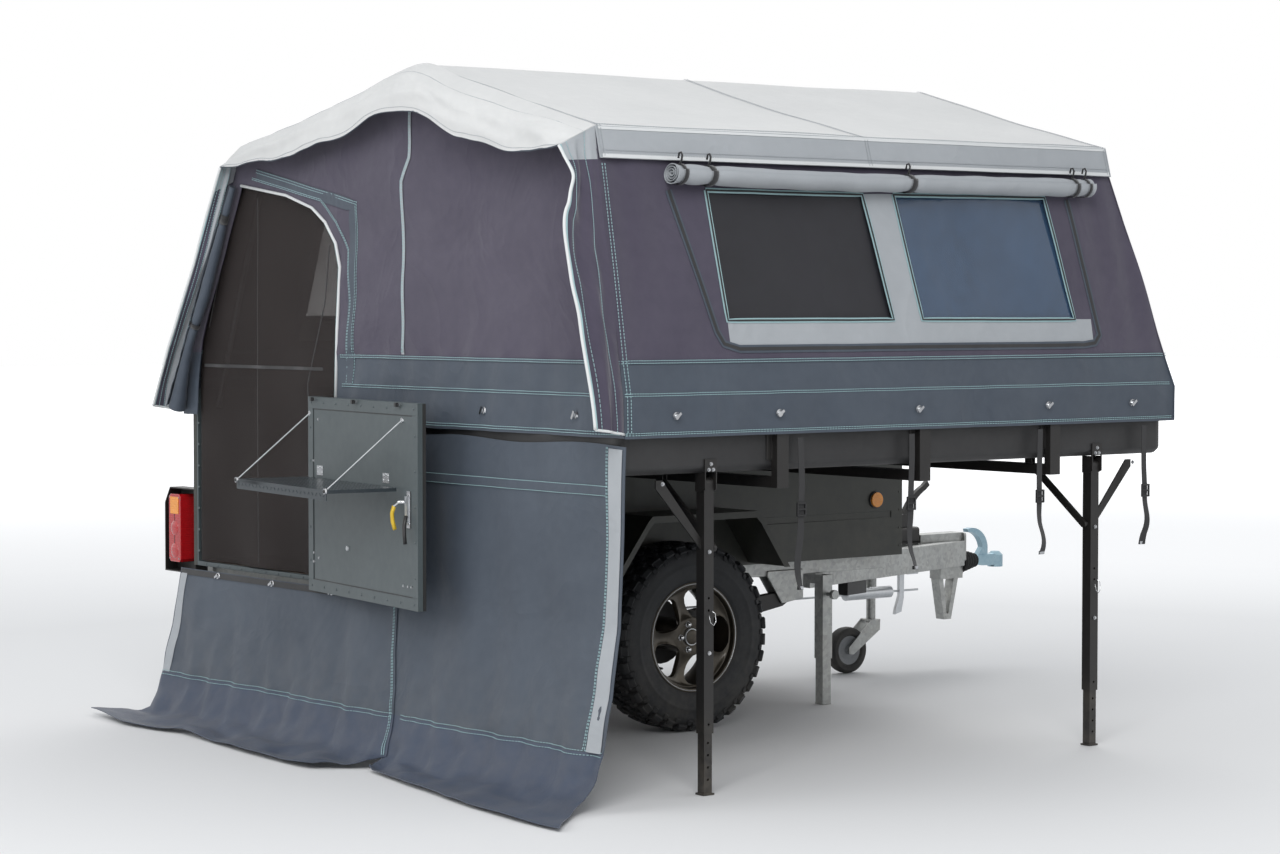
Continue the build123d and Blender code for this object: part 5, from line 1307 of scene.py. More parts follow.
def curtainShape(u, v):
    over = max(0.0, v - curtainFoot) / curtainSettings["ground"]
    reach, bend = tableAt(curtainSettings["reach"], u), curtainSettings["bend"]
    x, z = hangAt(min(v, curtainFoot))
    x -= over * reach
    if abs(v - curtainFoot) < bend:
        # The cloth sweeps out on to the ground in one soft bend
        turn = (v - curtainFoot + bend) / (2 * bend)
        start, middle = hangAt(curtainFoot - bend), hangAt(curtainFoot)
        end = (middle[0] - reach * bend / curtainSettings["ground"], middle[1])
        x, z = ((1 - turn) ** 2 * a + 2 * turn * (1 - turn) * b + turn ** 2 * c for a, b, c in zip(start, middle, end))
    hang = min(1.0, v / 0.30)
    low = clamped((v - 0.62) / 0.40)
    push = wrinkle((u * 1.3, v * 0.5, 11.0), 0.21, 0.014 * hang) + 0.004 * hang * math.sin(21 * u + 3 * v)
    push += low * (wrinkle((u * 2.4, v * 1.6, 12.0), 0.13, 0.012) + 0.006 * math.sin(34 * u + 8 * v))
    if u > -0.19 and v < curtainMarks[2] + 0.10:
        push *= max(0.15, min(1.0, (v - curtainMarks[2]) / 0.10))
    settle = min(1.0, over / 0.25)
    x -= push * (1 - settle)
    spread = max(0.0, (-1.12 - u) / 0.33) * -0.215 + max(0.0, (u - 1.03) / 0.30) * 0.26
    y = u + spread * over ** 1.4 + 0.010 * over * math.sin(17 * u)
    z += 0.006 * math.sin(9 * u) * math.exp(-v / 0.04) * (1 if v < 0.3 else 0)
    crumple = 0.006 + 0.006 * math.sin(13 * u + 4 * over) + wrinkle((u * 1.2, over * 0.4, 14.0), 0.17, 0.020)
    z += settle * max(-0.008, crumple * (0.35 + 0.65 * math.sin(math.pi * min(1.0, over))))
    if -0.34 < u < -0.02 and v > curtainMarks[2]:
        curl = max(0.0, 1 - abs(u + 0.24 + 0.10 * over) / 0.10)
        x -= 0.010 * curl * (1 - 0.5 * settle)
        z += 0.016 * curl * settle
    return Vector((x, y, max(z, 0.004)))


def seamDrift(v):
    return -0.190 - 0.115 * clamped((v - curtainMarks[2]) / (curtainFoot - curtainMarks[2]))


def trimRightCurtain(trim, shape, hem, lift):
    patch = curtainMarks[1] - 0.138
    ribbonOn(trim, shape, ((-1.355, patch), (0.28, patch)), 0.026, lift, 0.0012, slate)
    for row in (patch - 0.015, patch + 0.015):
        stitchOn(trim, shape, ((-1.355, row), (0.28, row)), lift + 0.001, thread)
    ribbonOn(trim, shape, ((-1.400, 0.01), (-1.400, hem)), 0.070, lift, 0.0012, grey)
    seamOn(trim, shape, ((-1.358, 0.01), (-1.358, hem)), lift + 0.001, thread, 0.006)


def trimLeftCurtain(trim, shape, hem, lift):
    sill = curtainMarks[2]
    ribbonOn(trim, shape, ((1.296, sill + 0.004), (1.296, hem)), 0.048, lift, 0.0012, grey)
    downs = [sill + (curtainFoot - sill) * step / 6 for step in range(7)]
    seamOn(trim, shape, [(seamDrift(down) + 0.016, down) for down in downs], lift, thread, 0.008)
    ribbonOn(trim, shape, ((-0.17, sill + 0.006), (1.32, sill + 0.006)), 0.022, lift, 0.0015, webbing)
    for y in curtainSettings["buttons"]:
        place = shape(y, sill + 0.006) + Vector((-0.004, 0, 0))
        addSolid(trim, "cone", place, (-1, 0, 0), metal, low=0.013, high=0.011, depth=0.004, sides=16)
        addSolid(trim, "cube", place + Vector((-0.008, 0, 0)), (-1, 0, 0), metal, size=(0.026, 0.008, 0.006), spin=0.5)


def buildCurtain(settings):
    sill, hem, end, lift = curtainMarks[2], curtainMarks[4], curtainFoot + settings["ground"], settings["lift"]
    corner, slit, far = (seamDrift(9.0), curtainFoot), sill + 0.012, end + 0.1
    for name in ("left", "right"):
        right = name == "right"
        low, high = ((-1.449, 0.0), (0.290, end)) if right else ((-0.33, sill - 0.008), (1.330, end))
        bm = flatCloth(low, high, settings["cell"])
        if right:
            cutHole(bm, [(-0.185, slit), (0.4, slit), (0.4, far), (-0.185, far)])
            cutHole(bm, [(-0.185, slit), (-0.185, far), (-0.42, far), (corner[0] + 0.015, curtainFoot)])
        else:
            cutLine(bm, (corner[0] + 0.16, end), corner, clear=True)
            cutLine(bm, corner, (-0.190, sill), clear=True)
        cutLine(bm, (low[0], hem), (high[0], hem))
        area = clothArea(bm)

        def shape(u, v, right=right):
            place = curtainShape(u, v)
            return place if right else place + Vector((-0.005, 0, 0.004 * (v > curtainFoot)))

        layCloth(bm, shape, settings["thick"], lambda u, v: int(v > hem))
        trim = startTrim()
        near, away = (-1.44, -0.31) if right else (-0.26, 1.32)
        for row in (hem - 0.004, hem + 0.010):
            stitchOn(trim, shape, ((near, row), (away, row)), lift, thread)
        (trimRightCurtain if right else trimLeftCurtain)(trim, shape, hem, lift)
        keepCloth(f"curtain_{name}", bm, [cloths["slateCanvas"], cloths["flapCanvas"]],
                  ("rear_curtain",), extent(low, high),
                  trim)


buildCurtain(curtainSettings)
print("curtain hung")

# Wheels: the section turns round the axle; tread blocks stand on the carcass

tyreSettings = {
    "section": ((0.198, 0.078), (0.201, 0.086), (0.208, 0.092), (0.216, 0.0965), (0.220, 0.0985), (0.226, 0.0985),
                (0.230, 0.0998), (0.250, 0.1028), (0.262, 0.1038), (0.265, 0.1054), (0.272, 0.1054), (0.275, 0.1040),
                (0.292, 0.1040), (0.306, 0.1020), (0.318, 0.0975), (0.328, 0.0900), (0.335, 0.0780), (0.3385, 0.058),
                (0.340, 0.030), (0.3405, 0.0)),
    "inside": ((0.206, -0.070), (0.250, -0.088), (0.305, -0.086), (0.326, -0.060), (0.328, 0.060), (0.305, 0.086),
               (0.250, 0.088), (0.206, 0.070)),
    "steps": 112, "pitches": 34, "blockEdge": 0.0022, "sharp": 38,
    "rows": ((0.0, 0.034, 0.0, 0.25), (0.0405, 0.034, 0.5, -0.30), (-0.0405, 0.034, 0.5, 0.30)),
    "blockTop": 0.3502,
}


def wheelCentre(side):
    return Vector((axleX, midY + side * wheelOut, axleZ))


def addLug(bm, centre, turn, out, radius, size, tilt=0.0, skew=0.0):
    matrix = (Matrix.Translation(centre) @ Matrix.Rotation(turn, 4, "Y") @ Matrix.Translation((0, out, radius))
              @ Matrix.Rotation(tilt, 4, "X") @ Matrix.Rotation(skew, 4, "Z") @ Matrix.Diagonal((*size, 1)))
    bmesh.ops.create_cube(bm, size=1.0, matrix=matrix)


def buildTyre(name, side, settings):
    centre = wheelCentre(side)
    bm = bmesh.new()
    pitch = 2 * math.pi / settings["pitches"]
    top = settings["blockTop"]
    for index in range(settings["pitches"]):
        for out, width, share, skew in settings["rows"]:
            turn = (index + share) * pitch
            for half in (-1, 1):
                addLug(bm, centre, turn + half * 0.0265, out + half * 0.002, top - 0.0075, (0.0165, width, 0.015),
                       0.0, skew)
        for end in (-1, 1):
            turn = (index + 0.5 * (end > 0)) * pitch
            long = index % 2
            addLug(bm, centre, turn, end * 0.0765, top - 0.0095, (0.043, 0.030, 0.015), -end * 0.10, end * 0.08)
            addLug(bm, centre, turn, end * (0.0925 - 0.001 * long), 0.3355 - 0.004 * long,
                   (0.040 - 0.006 * long, 0.020 + 0.010 * long, 0.015), -end * 0.82)
            addLug(bm, centre, turn + pitch / 2, end * 0.0985, 0.3180, (0.020, 0.022, 0.007), -end * 1.12)
    bevelEdges(bm, bm.edges[:], settings["blockEdge"])
    mirrored = [(r, -out) for r, out in reversed(settings["section"][:-1])]
    spunRing(bm, [*settings["section"], *mirrored, *settings["inside"]], centre, side, settings["steps"])
    allOutward(bm)
    smoothShade(bm, settings["sharp"])
    keepPiece(f"tyre_{name}_rubber", bm, [hard["tyreRubber"]], f"wheel_{name}", (f"tyre_{name}",))


rimSettings = {
    "barrel": ((0.2065, 0.0835), (0.2070, 0.0885), (0.2040, 0.0920), (0.1985, 0.0925), (0.1930, 0.0905),
               (0.1900, 0.0840), (0.1885, 0.0700), (0.1850, 0.0520), (0.1790, 0.0300), (0.1770, -0.0300),
               (0.1880, -0.0750), (0.1930, -0.0900), (0.2040, -0.0915), (0.2065, -0.0850), (0.1960, -0.0800),
               (0.1930, -0.0700), (0.1820, -0.0250), (0.1840, 0.0300), (0.1935, 0.0620), (0.1965, 0.0790)),
    "lip": ((0.1972, 0.0922), (0.1982, 0.0932), (0.1992, 0.0932), (0.2000, 0.0922), (0.1986, 0.0912)),
    "window": (0.0735, 0.1815), "inner": (0.034, 0.046, 0.054, 0.062, 0.069), "outer": (0.1845, 0.1880),
    "shares": (-1.0, -0.94, -0.82, -0.64, -0.38, 0.0, 0.38, 0.64, 0.82, 0.94, 1.0),
    "spokes": 5, "spokeColumns": 10, "windowColumns": 8, "discThick": 0.017, "edge": 0.0026, "round": 3.2,
    "sharp": 38, "spins": 96, "boltRing": 0.049, "valve": (0.63, 0.181, 0.064),
}
sector = 2 * math.pi / rimSettings["spokes"]
rimMiddle, rimHalf = sum(rimSettings["window"]) / 2, (rimSettings["window"][1] - rimSettings["window"][0]) / 2


def windowHalf(r):
    # Half the angle of the window between two spokes, at a radius
    spoke = 0.0190 + 0.55 * max(0.0, r - 0.140) ** 1.25 + 0.12 * max(0.0, 0.100 - r)
    power = rimSettings["round"]
    ease = (1 - min(0.985, abs(r - rimMiddle) / rimHalf) ** power) ** (1 / power)
    return max(0.03, (sector / 2 - math.asin(min(0.95, spoke / r))) * ease)


def discOut(r, across):
    dish = 0.070 - 0.011 * math.sin(math.pi * clamped((r - 0.066) / 0.118))
    spoke = clamped((r - 0.068) / 0.02) * clamped((0.186 - r) / 0.012)
    return dish - 0.006 * (1 - across * across) * spoke + 0.004 * max(0.0, (r - 0.175) / 0.013)


def spokedDisc(centre, side, settings):
    rows = []
    spokeCells, windowCells = settings["spokeColumns"], settings["windowColumns"]
    for r in (*settings["inner"], *(rimMiddle + rimHalf * share for share in settings["shares"]), *settings["outer"]):
        window = windowHalf(r)
        spoke = sector / 2 - window
        row = []
        for number in range(settings["spokes"]):
            base = math.pi + number * sector
            for column in range(spokeCells + windowCells):
                across = 1.0
                if column <= spokeCells:
                    across = 2 * column / spokeCells - 1
                    turn = base + spoke * across
                else:
                    turn = base + spoke + window * 2 * (column - spokeCells) / windowCells
                row.append(centre + Vector((r * math.cos(turn), side * discOut(r, across), r * math.sin(turn))))
        rows.append([*row, row[0]])
    bm = bmesh.new()
    netThrough(bm, rows)
    gone = []
    for face in bm.faces:
        spot = face.calc_center_median() - centre
        r = math.hypot(spot.x, spot.z)
        turn = (math.atan2(spot.z, spot.x) - math.pi) % sector
        if settings["window"][0] < r < settings["window"][1] and abs(turn - sector / 2) < windowHalf(r) * 0.97:
            gone.append(face)
    bmesh.ops.delete(bm, geom=gone, context="FACES")
    bmesh.ops.remove_doubles(bm, verts=bm.verts, dist=oneSpot)
    for face in bm.faces:
        if face.normal.y * side < 0:
            face.normal_flip()
    bmesh.ops.solidify(bm, geom=bm.faces[:], thickness=settings["discThick"])
    bevelEdges(bm, sharpEdges(bm, 50), settings["edge"], 3)
    return bm


def buildRim(name, side, settings):
    centre, outward = wheelCentre(side), Vector((0, side, 0))
    bm = spokedDisc(centre, side, settings)
    spunRing(bm, settings["barrel"], centre, side, settings["spins"])
    spunRing(bm, settings["lip"], centre, side, settings["spins"], 2)
    for out, low, high, depth, sides, index in (
            (0.044, 0.055, 0.052, 0.024, 48, 0), (-0.105, 0.062, 0.062, 0.150, 48, 0),
            (0.068, 0.0325, 0.0315, 0.010, 40, 2), (0.068, 0.0300, 0.0280, 0.0125, 40, 0)):
        addSolid(bm, "cone", centre + outward * out, outward, index, low=low, high=high, depth=depth, sides=sides)
    addDomes(bm, [centre + outward * 0.0795], outward, 0, 0.0275, 0.004, 32)
    for number in range(settings["spokes"]):
        turn, ring = math.pi + number * sector, settings["boltRing"]
        place = centre + Vector((ring * math.cos(turn), 0, ring * math.sin(turn))) + outward * 0.069
        addSolid(bm, "cone", place, outward, 1, low=0.0125, high=0.0105, depth=0.004, sides=20)
        addSolid(bm, "cone", place + outward * 0.003, outward, 1, low=0.0100, high=0.0090, depth=0.011, sides=6)
        addDomes(bm, [place + outward * 0.013], outward, 1, 0.0085, 0.005, 14)
    turn, ring, out = settings["valve"]
    stem = centre + Vector((ring * math.cos(math.pi + turn), 0, ring * math.sin(math.pi + turn))) + outward * out
    addSolid(bm, "cone", stem, outward, 3, low=0.0055, high=0.0040, depth=0.020, sides=10)
    allOutward(bm)
    smoothShade(bm, settings["sharp"])
    keepPiece(f"rim_{name}_alloy", bm, [hard["darkAlloy"], hard["chromeSteel"], hard["zincPlate"], hard["softRubber"]],
              f"wheel_{name}", (f"rim_{name}",))


for side, name in ((-1, "right"), (1, "left")):
    buildTyre(name, side, tyreSettings)
    buildRim(name, side, rimSettings)
print("wheels built")

# CAD pieces with eased edges: each copy stands for its node

easedSettings = {
    "side_panels": 0.0015, "front_panel": 0.0015, "rear_frame": 0.0015, "fenders": 0.0012, "lid_tray": 0.0020,
    "rear_door": 0.0022, "door_shelf": 0.0015, "drawbar": 0.0030, "chassis_frame": 0.0030, "overrun_housing": 0.0020,
    "prop_leg_rear": 0.0025, "prop_leg_front": 0.0025, "leg_stay_rear": 0.0010, "leg_stay_front": 0.0010,
    "leg_brackets": 0.0010, "roof_bars": 0.0022, "tray_brackets": 0.0012, "steady_sleeves": 0.0025,
    "steady_leg_right": 0.0025, "steady_leg_left": 0.0025, "jockey_clamp": 0.0010, "jockey_fork": 0.0012,
    "axle_beam_arms": 0.0025, "tail_brackets": 0.0015, "tail_lenses": 0.0030, "marker_lamps": 0.0025,
    "drawbar_cover": 0.0050, "handbrake": 0.0012, "coupling_head": 0.0012, "lid_hinges": 0.0010,
    "door_hinges": 0.0010, "hoop_brackets": 0.0010, "brake_linkage": 0.0010, "floor_panel": 0.0010,
    "hoop_left": 0.0010, "hoop_right": 0.0010, "hoop_ridge": 0.0010,
}
finishOf = {nodeName: finish for finish, nodeNames in finishes.items() for nodeName in nodeNames}
bodies = frame["record"]["behaviour"]["bodies"]
bodyOf = {nodeName: body for body, nodeNames in bodies.items() for nodeName in nodeNames}


def easedCopy(nodeName, width, sharp=34):
    bm = bmesh.new()
    bm.from_mesh(frame["nodes"][nodeName].data)
    bmesh.ops.remove_doubles(bm, verts=bm.verts, dist=2e-5)
    bmesh.ops.dissolve_limit(bm, angle_limit=math.radians(1.0), verts=bm.verts, edges=bm.edges)
    if nodeName == "lid_tray":
        low = [edge for edge in sharpEdges(bm, 25) if all(vert.co.z < 1.068 for vert in edge.verts)]
        bevelEdges(bm, low, 0.008, 3)
    bevelEdges(bm, sharpEdges(bm, sharp), width, 2)
    for face in bm.faces:
        face.smooth = True
        face.material_index = 0
    for edge in bm.edges:
        edge.smooth = edge.is_manifold and edge.calc_face_angle(0) < math.radians(42)
    return bm


for nodeName, width in easedSettings.items():
    piece = keepPiece(f"{nodeName}_eased", easedCopy(nodeName, width), [allFinishes[finishOf[nodeName]]],
                      bodyOf[nodeName], (nodeName,))
    piece.modifiers.new("even", "WEIGHTED_NORMAL").keep_sharp = True
print("edges eased")

# Rear door: border, rivets, latches, lever lock, shelf hinges and the plate on the shelf

doorSettings = {
    "hinge": (-1.705, 0.352, 0.0), "along": (-0.13917, -0.99027, 0.0), "out": (-0.99027, 0.13917, 0.0),
    "spans": (0.562, 1.258, 0.013, 0.913), "face": 0.014, "border": 0.042, "rise": 0.0028,
    "latches": (0.073, 0.423, 0.773), "hinges": (0.112, 0.662), "shelfZ": 0.971,
    "bolts": ((0.060, 0.700), (0.102, 0.684), (0.058, 0.668), (0.060, 1.030), (0.100, 1.178), (0.800, 0.640),
              (0.835, 0.640), (0.862, 0.640)),
    "lever": ((0.846, 0.925, 0.030), (0.826, 0.926, 0.044), (0.808, 0.912, 0.054), (0.800, 0.886, 0.058),
              (0.801, 0.858, 0.056), (0.810, 0.832, 0.052)),
    "handle": ((0.852, 0.880, 0.030), (0.853, 0.850, 0.038), (0.857, 0.815, 0.040), (0.864, 0.786, 0.040)),
    "rivet": (0.0048, 0.0026), "bars": (11, 31, 0.0248), "bar": (0.0085, 0.0028, 0.0010, 1),
}


def onDoor(along, height, out):
    given = doorSettings
    return Vector(given["hinge"]) + Vector(given["along"]) * along + Vector(given["out"]) * out + Vector((0, 0, height))


def doorBlock(bm, along, height, out, size, index, turn=0.0):
    axes = Matrix((doorSettings["along"], (0, 0, 1), doorSettings["out"])).transposed().to_4x4()
    matrix = (Matrix.Translation(onDoor(along, height, out)) @ axes @ Matrix.Rotation(turn, 4, "Z")
              @ Matrix.Diagonal((*size, 1)))
    for face in facesOf(bmesh.ops.create_cube(bm, size=1.0, matrix=matrix)["verts"]):
        face.material_index = index


def frameBlocks(bm, inset, width, out, thick, lap, index):
    # Four bars round the door's face, at a distance inside its edge
    low, high, near, far = doorSettings["spans"]
    for height in (low + inset, high - inset):
        doorBlock(bm, (near + far) / 2, height, out, (far - near - 2 * (inset - lap), width, thick), index)
    for along in (near + inset, far - inset):
        doorBlock(bm, along, (low + high) / 2, out, (width, high - low - 2 * (inset + lap), thick), index)


def easeAll(bm, width):
    bevelEdges(bm, sharpEdges(bm, 50), width)


doorMaterials = [hard[name] for name in ("doorPaint", "blackPlastic", "chromeSteel", "softRubber", "yellowPlastic",
                                         "zincPlate")]


def buildDoorDetails(settings):
    low, high, near, far = settings["spans"]
    border, face, rise = settings["border"], settings["face"], settings["rise"]
    outward = Vector(settings["out"])
    bm = bmesh.new()
    frameBlocks(bm, border / 2, border, face + rise / 2, rise, border / 2, 0)
    easeAll(bm, 0.0008)
    frameBlocks(bm, border + 0.0015, 0.0035, face + 0.0004, 0.0010, 0.0, 1)
    rivets = [(near + 0.030 + step * (far - near - 0.060) / 8, height) for step in range(9)
              for height in (low + 0.020, high - 0.020)]
    rivets += [(along, low + 0.110 + step * (high - low - 0.220) / 4) for step in range(5)
               for along in (near + 0.020, far - 0.020)]
    addDomes(bm, [onDoor(*spot, face + rise) for spot in rivets], outward, 0, *settings["rivet"])
    doorBlock(bm, far + 0.0025, (low + high) / 2, -0.007, (0.005, high - low - 0.004, 0.010), 3)
    for along in settings["latches"]:
        height = high - 0.009
        doorBlock(bm, along, height, face + 0.010, (0.036, 0.008, 0.005), 2, 0.05)
        addSolid(bm, "cone", onDoor(along, height, face), outward, 2, low=0.006, high=0.005, depth=0.014, sides=12)
        doorBlock(bm, along + 0.002, height + 0.001, face + 0.016, (0.013, 0.014, 0.010), 1)
    for along in settings["hinges"]:
        height = settings["shelfZ"] + 0.026
        doorBlock(bm, along, height, face + 0.0008, (0.052, 0.034, 0.0016), 2)
        spots = ((-0.017, 0.008), (0.017, 0.008), (-0.019, -0.008), (0.019, -0.008), (0.0, 0.012))
        heads = [onDoor(along + shift, height + up, face + 0.0016) for shift, up in spots]
        addDomes(bm, heads, outward, 5, 0.0048, 0.0014)
    for along, height in settings["bolts"]:
        addBolt(bm, onDoor(along, height, face), outward, 0.0052, 2)
    addSolid(bm, "cone", onDoor(0.345, 0.735, face), outward, 5, low=0.0095, high=0.0085, depth=0.004, sides=20)
    doorBlock(bm, 0.848, 0.900, face + 0.003, (0.026, 0.124, 0.006), 2)
    doorBlock(bm, 0.846, 0.900, face + 0.010, (0.016, 0.090, 0.010), 5)
    for height in (0.853, 0.947):
        addBolt(bm, onDoor(0.850, height, face + 0.006), outward, 0.0062, 2)
    lever, handle = ([onDoor(*place) for place in settings[name]] for name in ("lever", "handle"))
    for path, radius, index in ((lever[:4], 0.0062, 2), (lever[2:], 0.0070, 4), (handle, 0.0065, 1)):
        tubeAlong(bm, path, radius, 10, index)
    for along in (0.026, 0.790):
        addSolid(bm, "cone", onDoor(along, 1.198, face), outward, 2, low=0.010, high=0.009, depth=0.0035, sides=16)
    allOutward(bm)
    keepPiece("door_details", bm, doorMaterials, "door", ("door_fittings",))


def buildShelfPlate(settings):
    bm = bmesh.new()
    top, (rows, columns, pitch) = settings["shelfZ"], settings["bars"]
    flat = Matrix((settings["along"], settings["out"], (0, 0, -1))).transposed().to_4x4()
    for row in range(rows):
        for column in range(columns):
            place = Matrix.Translation(onDoor(0.034 + column * pitch, top, 0.034 + row * pitch))
            lean = Matrix.Rotation(math.radians(45 if (row + column) % 2 else -45), 4, "Z")
            bmesh.ops.create_icosphere(bm, subdivisions=1, radius=1.0,
                                       matrix=place @ flat @ lean @ Matrix.Diagonal(settings["bar"]))
    for face in bm.faces:
        face.smooth = True
    doorBlock(bm, 0.408, top - 0.0175, 0.2945, (0.772, 0.035, 0.003), 0)
    for along in (0.026, 0.790):
        addSolid(bm, "cone", onDoor(along, top - 0.004, 0.296), Vector(settings["out"]), 1, low=0.011, high=0.010,
                 depth=0.006, sides=16)
        addDomes(bm, [onDoor(along, top - 0.004, 0.302)], Vector(settings["out"]), 2, 0.006, 0.004)
    for step in range(24):
        doorBlock(bm, 0.040 + step * 0.032, top - 0.018, 0.2965, (0.012, 0.003, 0.0012), 0, 0.7 if step % 2 else -0.7)
    allOutward(bm)
    keepPiece("shelf_plate", bm, [hard["platePaint"], hard["chromeSteel"], hard["blackPlastic"]], "shelf")


buildDoorDetails(doorSettings)
buildShelfPlate(doorSettings)
print("door finished")

# Shelf cables: two straight cables from high on the door down to the shelf's outer edge

cableSettings = {"along": (0.026, 0.790), "middle": 0.408, "top": (1.196, 0.018), "foot": (0.9734, 0.290),
                 "radius": 0.0025, "sides": 12}


def buildShelfCables(settings):
    bm = bmesh.new()
    for along in settings["along"]:
        top, foot = onDoor(along, *settings["top"]), onDoor(along, *settings["foot"])
        addSolid(bm, "cone", top, foot - top, 0, low=settings["radius"], high=settings["radius"],
                 depth=(foot - top).length, sides=settings["sides"])
    allOutward(bm)
    cables = keepPiece("shelf_cable_pair", bm, [hard["zincPlate"]], None, ("shelf_cables",))
    start, end = (onDoor(settings["middle"], *settings[name]) for name in ("top", "foot"))
    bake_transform(cables)
    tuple(start)
    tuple(end)


buildShelfCables(cableSettings)

# Box: rivets, lamp frames and lens parts

boxSettings = {"rearX": -1.645, "post": 1.262, "sill": 0.592, "lensY": (-0.164, 1.444), "lens": (0.585, 0.850),
               "carrier": (0.900, 0.3390, 0.4185), "carrierSize": (0.150, 0.046, 0.052), "wallOut": 0.665,
               "lamp": (0.694, 0.809, 0.0315)}


def buildBoxDetails(settings):
    bm = bmesh.new()
    rear, (low, high) = (-1, 0, 0), settings["lens"]
    addDomes(bm, [(settings["rearX"], settings["post"], 0.640 + step * 0.082) for step in range(8)], rear, 0, 0.0052,
             0.0028)
    addDomes(bm, [(settings["rearX"], 0.330 + step * 0.088, settings["sill"]) for step in range(11)], rear, 0, 0.0048,
             0.0026)
    for side in (-1, 1):
        wall = midY + side * settings["wallOut"]
        places = [(-1.600 + step * 0.1035, wall, 1.236) for step in range(24)]
        places += [(0.822, wall, 0.620 + step * 0.072) for step in range(9)]
        addDomes(bm, places, (0, side, 0), 1, 0.0045, 0.0024, 10)
        x, z, radius = settings["lamp"]
        turns = [2 * math.pi * step / 32 for step in range(33)]
        ring = [(x + radius * math.cos(turn), wall + side * 0.003, z + radius * math.sin(turn)) for turn in turns]
        tubeAlong(bm, ring, 0.0035, 8, 2, ends=False)
    # A black carrier hangs under the right arm of the drawbar
    addSolid(bm, "cube", settings["carrier"], (0, 0, 1), 2, size=settings["carrierSize"], spin=math.radians(17))
    for y in settings["lensY"]:
        for height in (low + 0.088, low + 0.176):
            addSolid(bm, "cube", (-1.6515, y, height), rear, 2, size=(0.0030, 0.088, 0.0012))
        addDomes(bm, [(-1.6505, y, low + 0.044), (-1.6505, y, low + 0.132)], rear, 3, 0.031, 0.0045, 24)
        addSolid(bm, "cube", (-1.6520, y, high - 0.044), rear, 4, size=(0.062, 0.066, 0.0026))
        for height in (low + 0.014, high - 0.014):
            for shift in (-0.034, 0.034):
                addBolt(bm, (-1.6515, y + shift, height), rear, 0.0036, 5, washer=False)
    bmesh.ops.remove_doubles(bm, verts=bm.verts, dist=1e-6)
    allOutward(bm)
    keepPiece("box_details", bm, [hard["doorPaint"], hard["boxPaint"], hard["blackPlastic"], lenses["redLens"],
                                  lenses["amberLens"], hard["chromeSteel"]], "box")


buildBoxDetails(boxSettings)
print("box riveted")

# Prop legs: chrome bolts on the brackets, the braces and the tubes

legSettings = {
    "face": -1.4025, "bracketFace": -1.4105, "legs": (("rear", -1.291, -1), ("front", 0.499, 1)), "brace": 0.193,
    "bracketBolts": ((0.0, 1.074), (-0.009, 1.056), (0.009, 1.056)),
    "pin": ((0.006, -0.004, 0.600), (0.016, -0.010, 0.590), (0.018, -0.012, 0.566), (0.008, -0.012, 0.552),
            (-0.004, -0.011, 0.562), (-0.006, -0.006, 0.586)),
}


def buildLegBolts(settings):
    lid = bmesh.new()
    for name, x, side in settings["legs"]:
        for shift, height in settings["bracketBolts"]:
            addBolt(lid, (x + shift, settings["bracketFace"], height), (0, -1, 0), 0.0060, 0)
        bm = bmesh.new()
        for shift, height in ((0.0, 0.790), (0.0, 0.462), (side * settings["brace"], 1.016)):
            addBolt(bm, (x + shift, settings["face"], height), (0, -1, 0), 0.0066, 0)
        pin = [(x + shift, settings["face"] + out, height) for shift, out, height in settings["pin"]]
        tubeAlong(bm, pin, 0.0014, 6)
        allOutward(bm)
        keepPiece(f"leg_{name}_bolts", bm, [hard["chromeSteel"]], f"leg_{name}")
    allOutward(lid)
    keepPiece("bracket_bolts", lid, [hard["chromeSteel"]], "lid")


buildLegBolts(legSettings)

# Lid straps: each hangs from the tray's side through a buckle and curls at its end

strapSettings = {
    "straps": (("a", -0.938, 0.50, 0.8), ("b", -0.440, 0.46, 2.1), ("c", 0.176, 0.44, 3.4), ("d", 0.708, 0.43, 4.9)),
    "top": 1.150, "y": -1.4425, "width": 0.025, "thick": 0.0018, "buckle": 0.235, "cell": 0.0125,
}


def strapShape(x, length, phase, settings):
    def shape(u, v):
        loose = max(0.0, v - settings["buckle"]) / (length - settings["buckle"])
        sway = 0.016 * loose * math.sin(6.0 * loose + phase) + 0.006 * math.sin(9 * v + phase) * min(1, v * 6)
        twist = 0.5 * loose * math.sin(phase + 3 * loose)
        return Vector((x + u * math.cos(twist) + sway, settings["y"] - abs(sway) * 0.3 - u * math.sin(twist),
                       settings["top"] - v))

    return shape


def buildStraps(settings):
    for name, x, length, phase in settings["straps"]:
        shape = strapShape(x, length, phase, settings)
        bm = flatCloth((-settings["width"] / 2, 0), (settings["width"] / 2, length), settings["cell"])
        area = clothArea(bm)
        layCloth(bm, shape, settings["thick"])
        trim = startTrim()
        place = shape(0, settings["buckle"])
        for shift in (-0.017, 0.017):
            addSolid(trim, "cube", place + Vector((shift, -0.004, 0)), (0, -1, 0), 0, size=(0.005, 0.044, 0.008))
        for shift in (-0.020, 0.0, 0.020):
            addSolid(trim, "cube", place + Vector((0, -0.004, shift)), (0, -1, 0), 0, size=(0.038, 0.006, 0.009))
        addSolid(trim, "cube", shape(0, length - 0.006), (0, -1, 0), 1, size=(0.026, 0.012, 0.0045))
        easeAll(trim, 0.0010)
        buckle = keepPiece(f"strap_{name}_buckle", trim, [hard["blackPlastic"], hard["chromeSteel"]], "lid")
        piece = keepPiece(f"strap_{name}", bm, [cloths["blackWebbing"]], "lid", ("lid_straps",))


buildStraps(strapSettings)
print("straps hung")

# Round pieces that the CAD has as flats: springs, bellows and jockey wheel; and the mattress

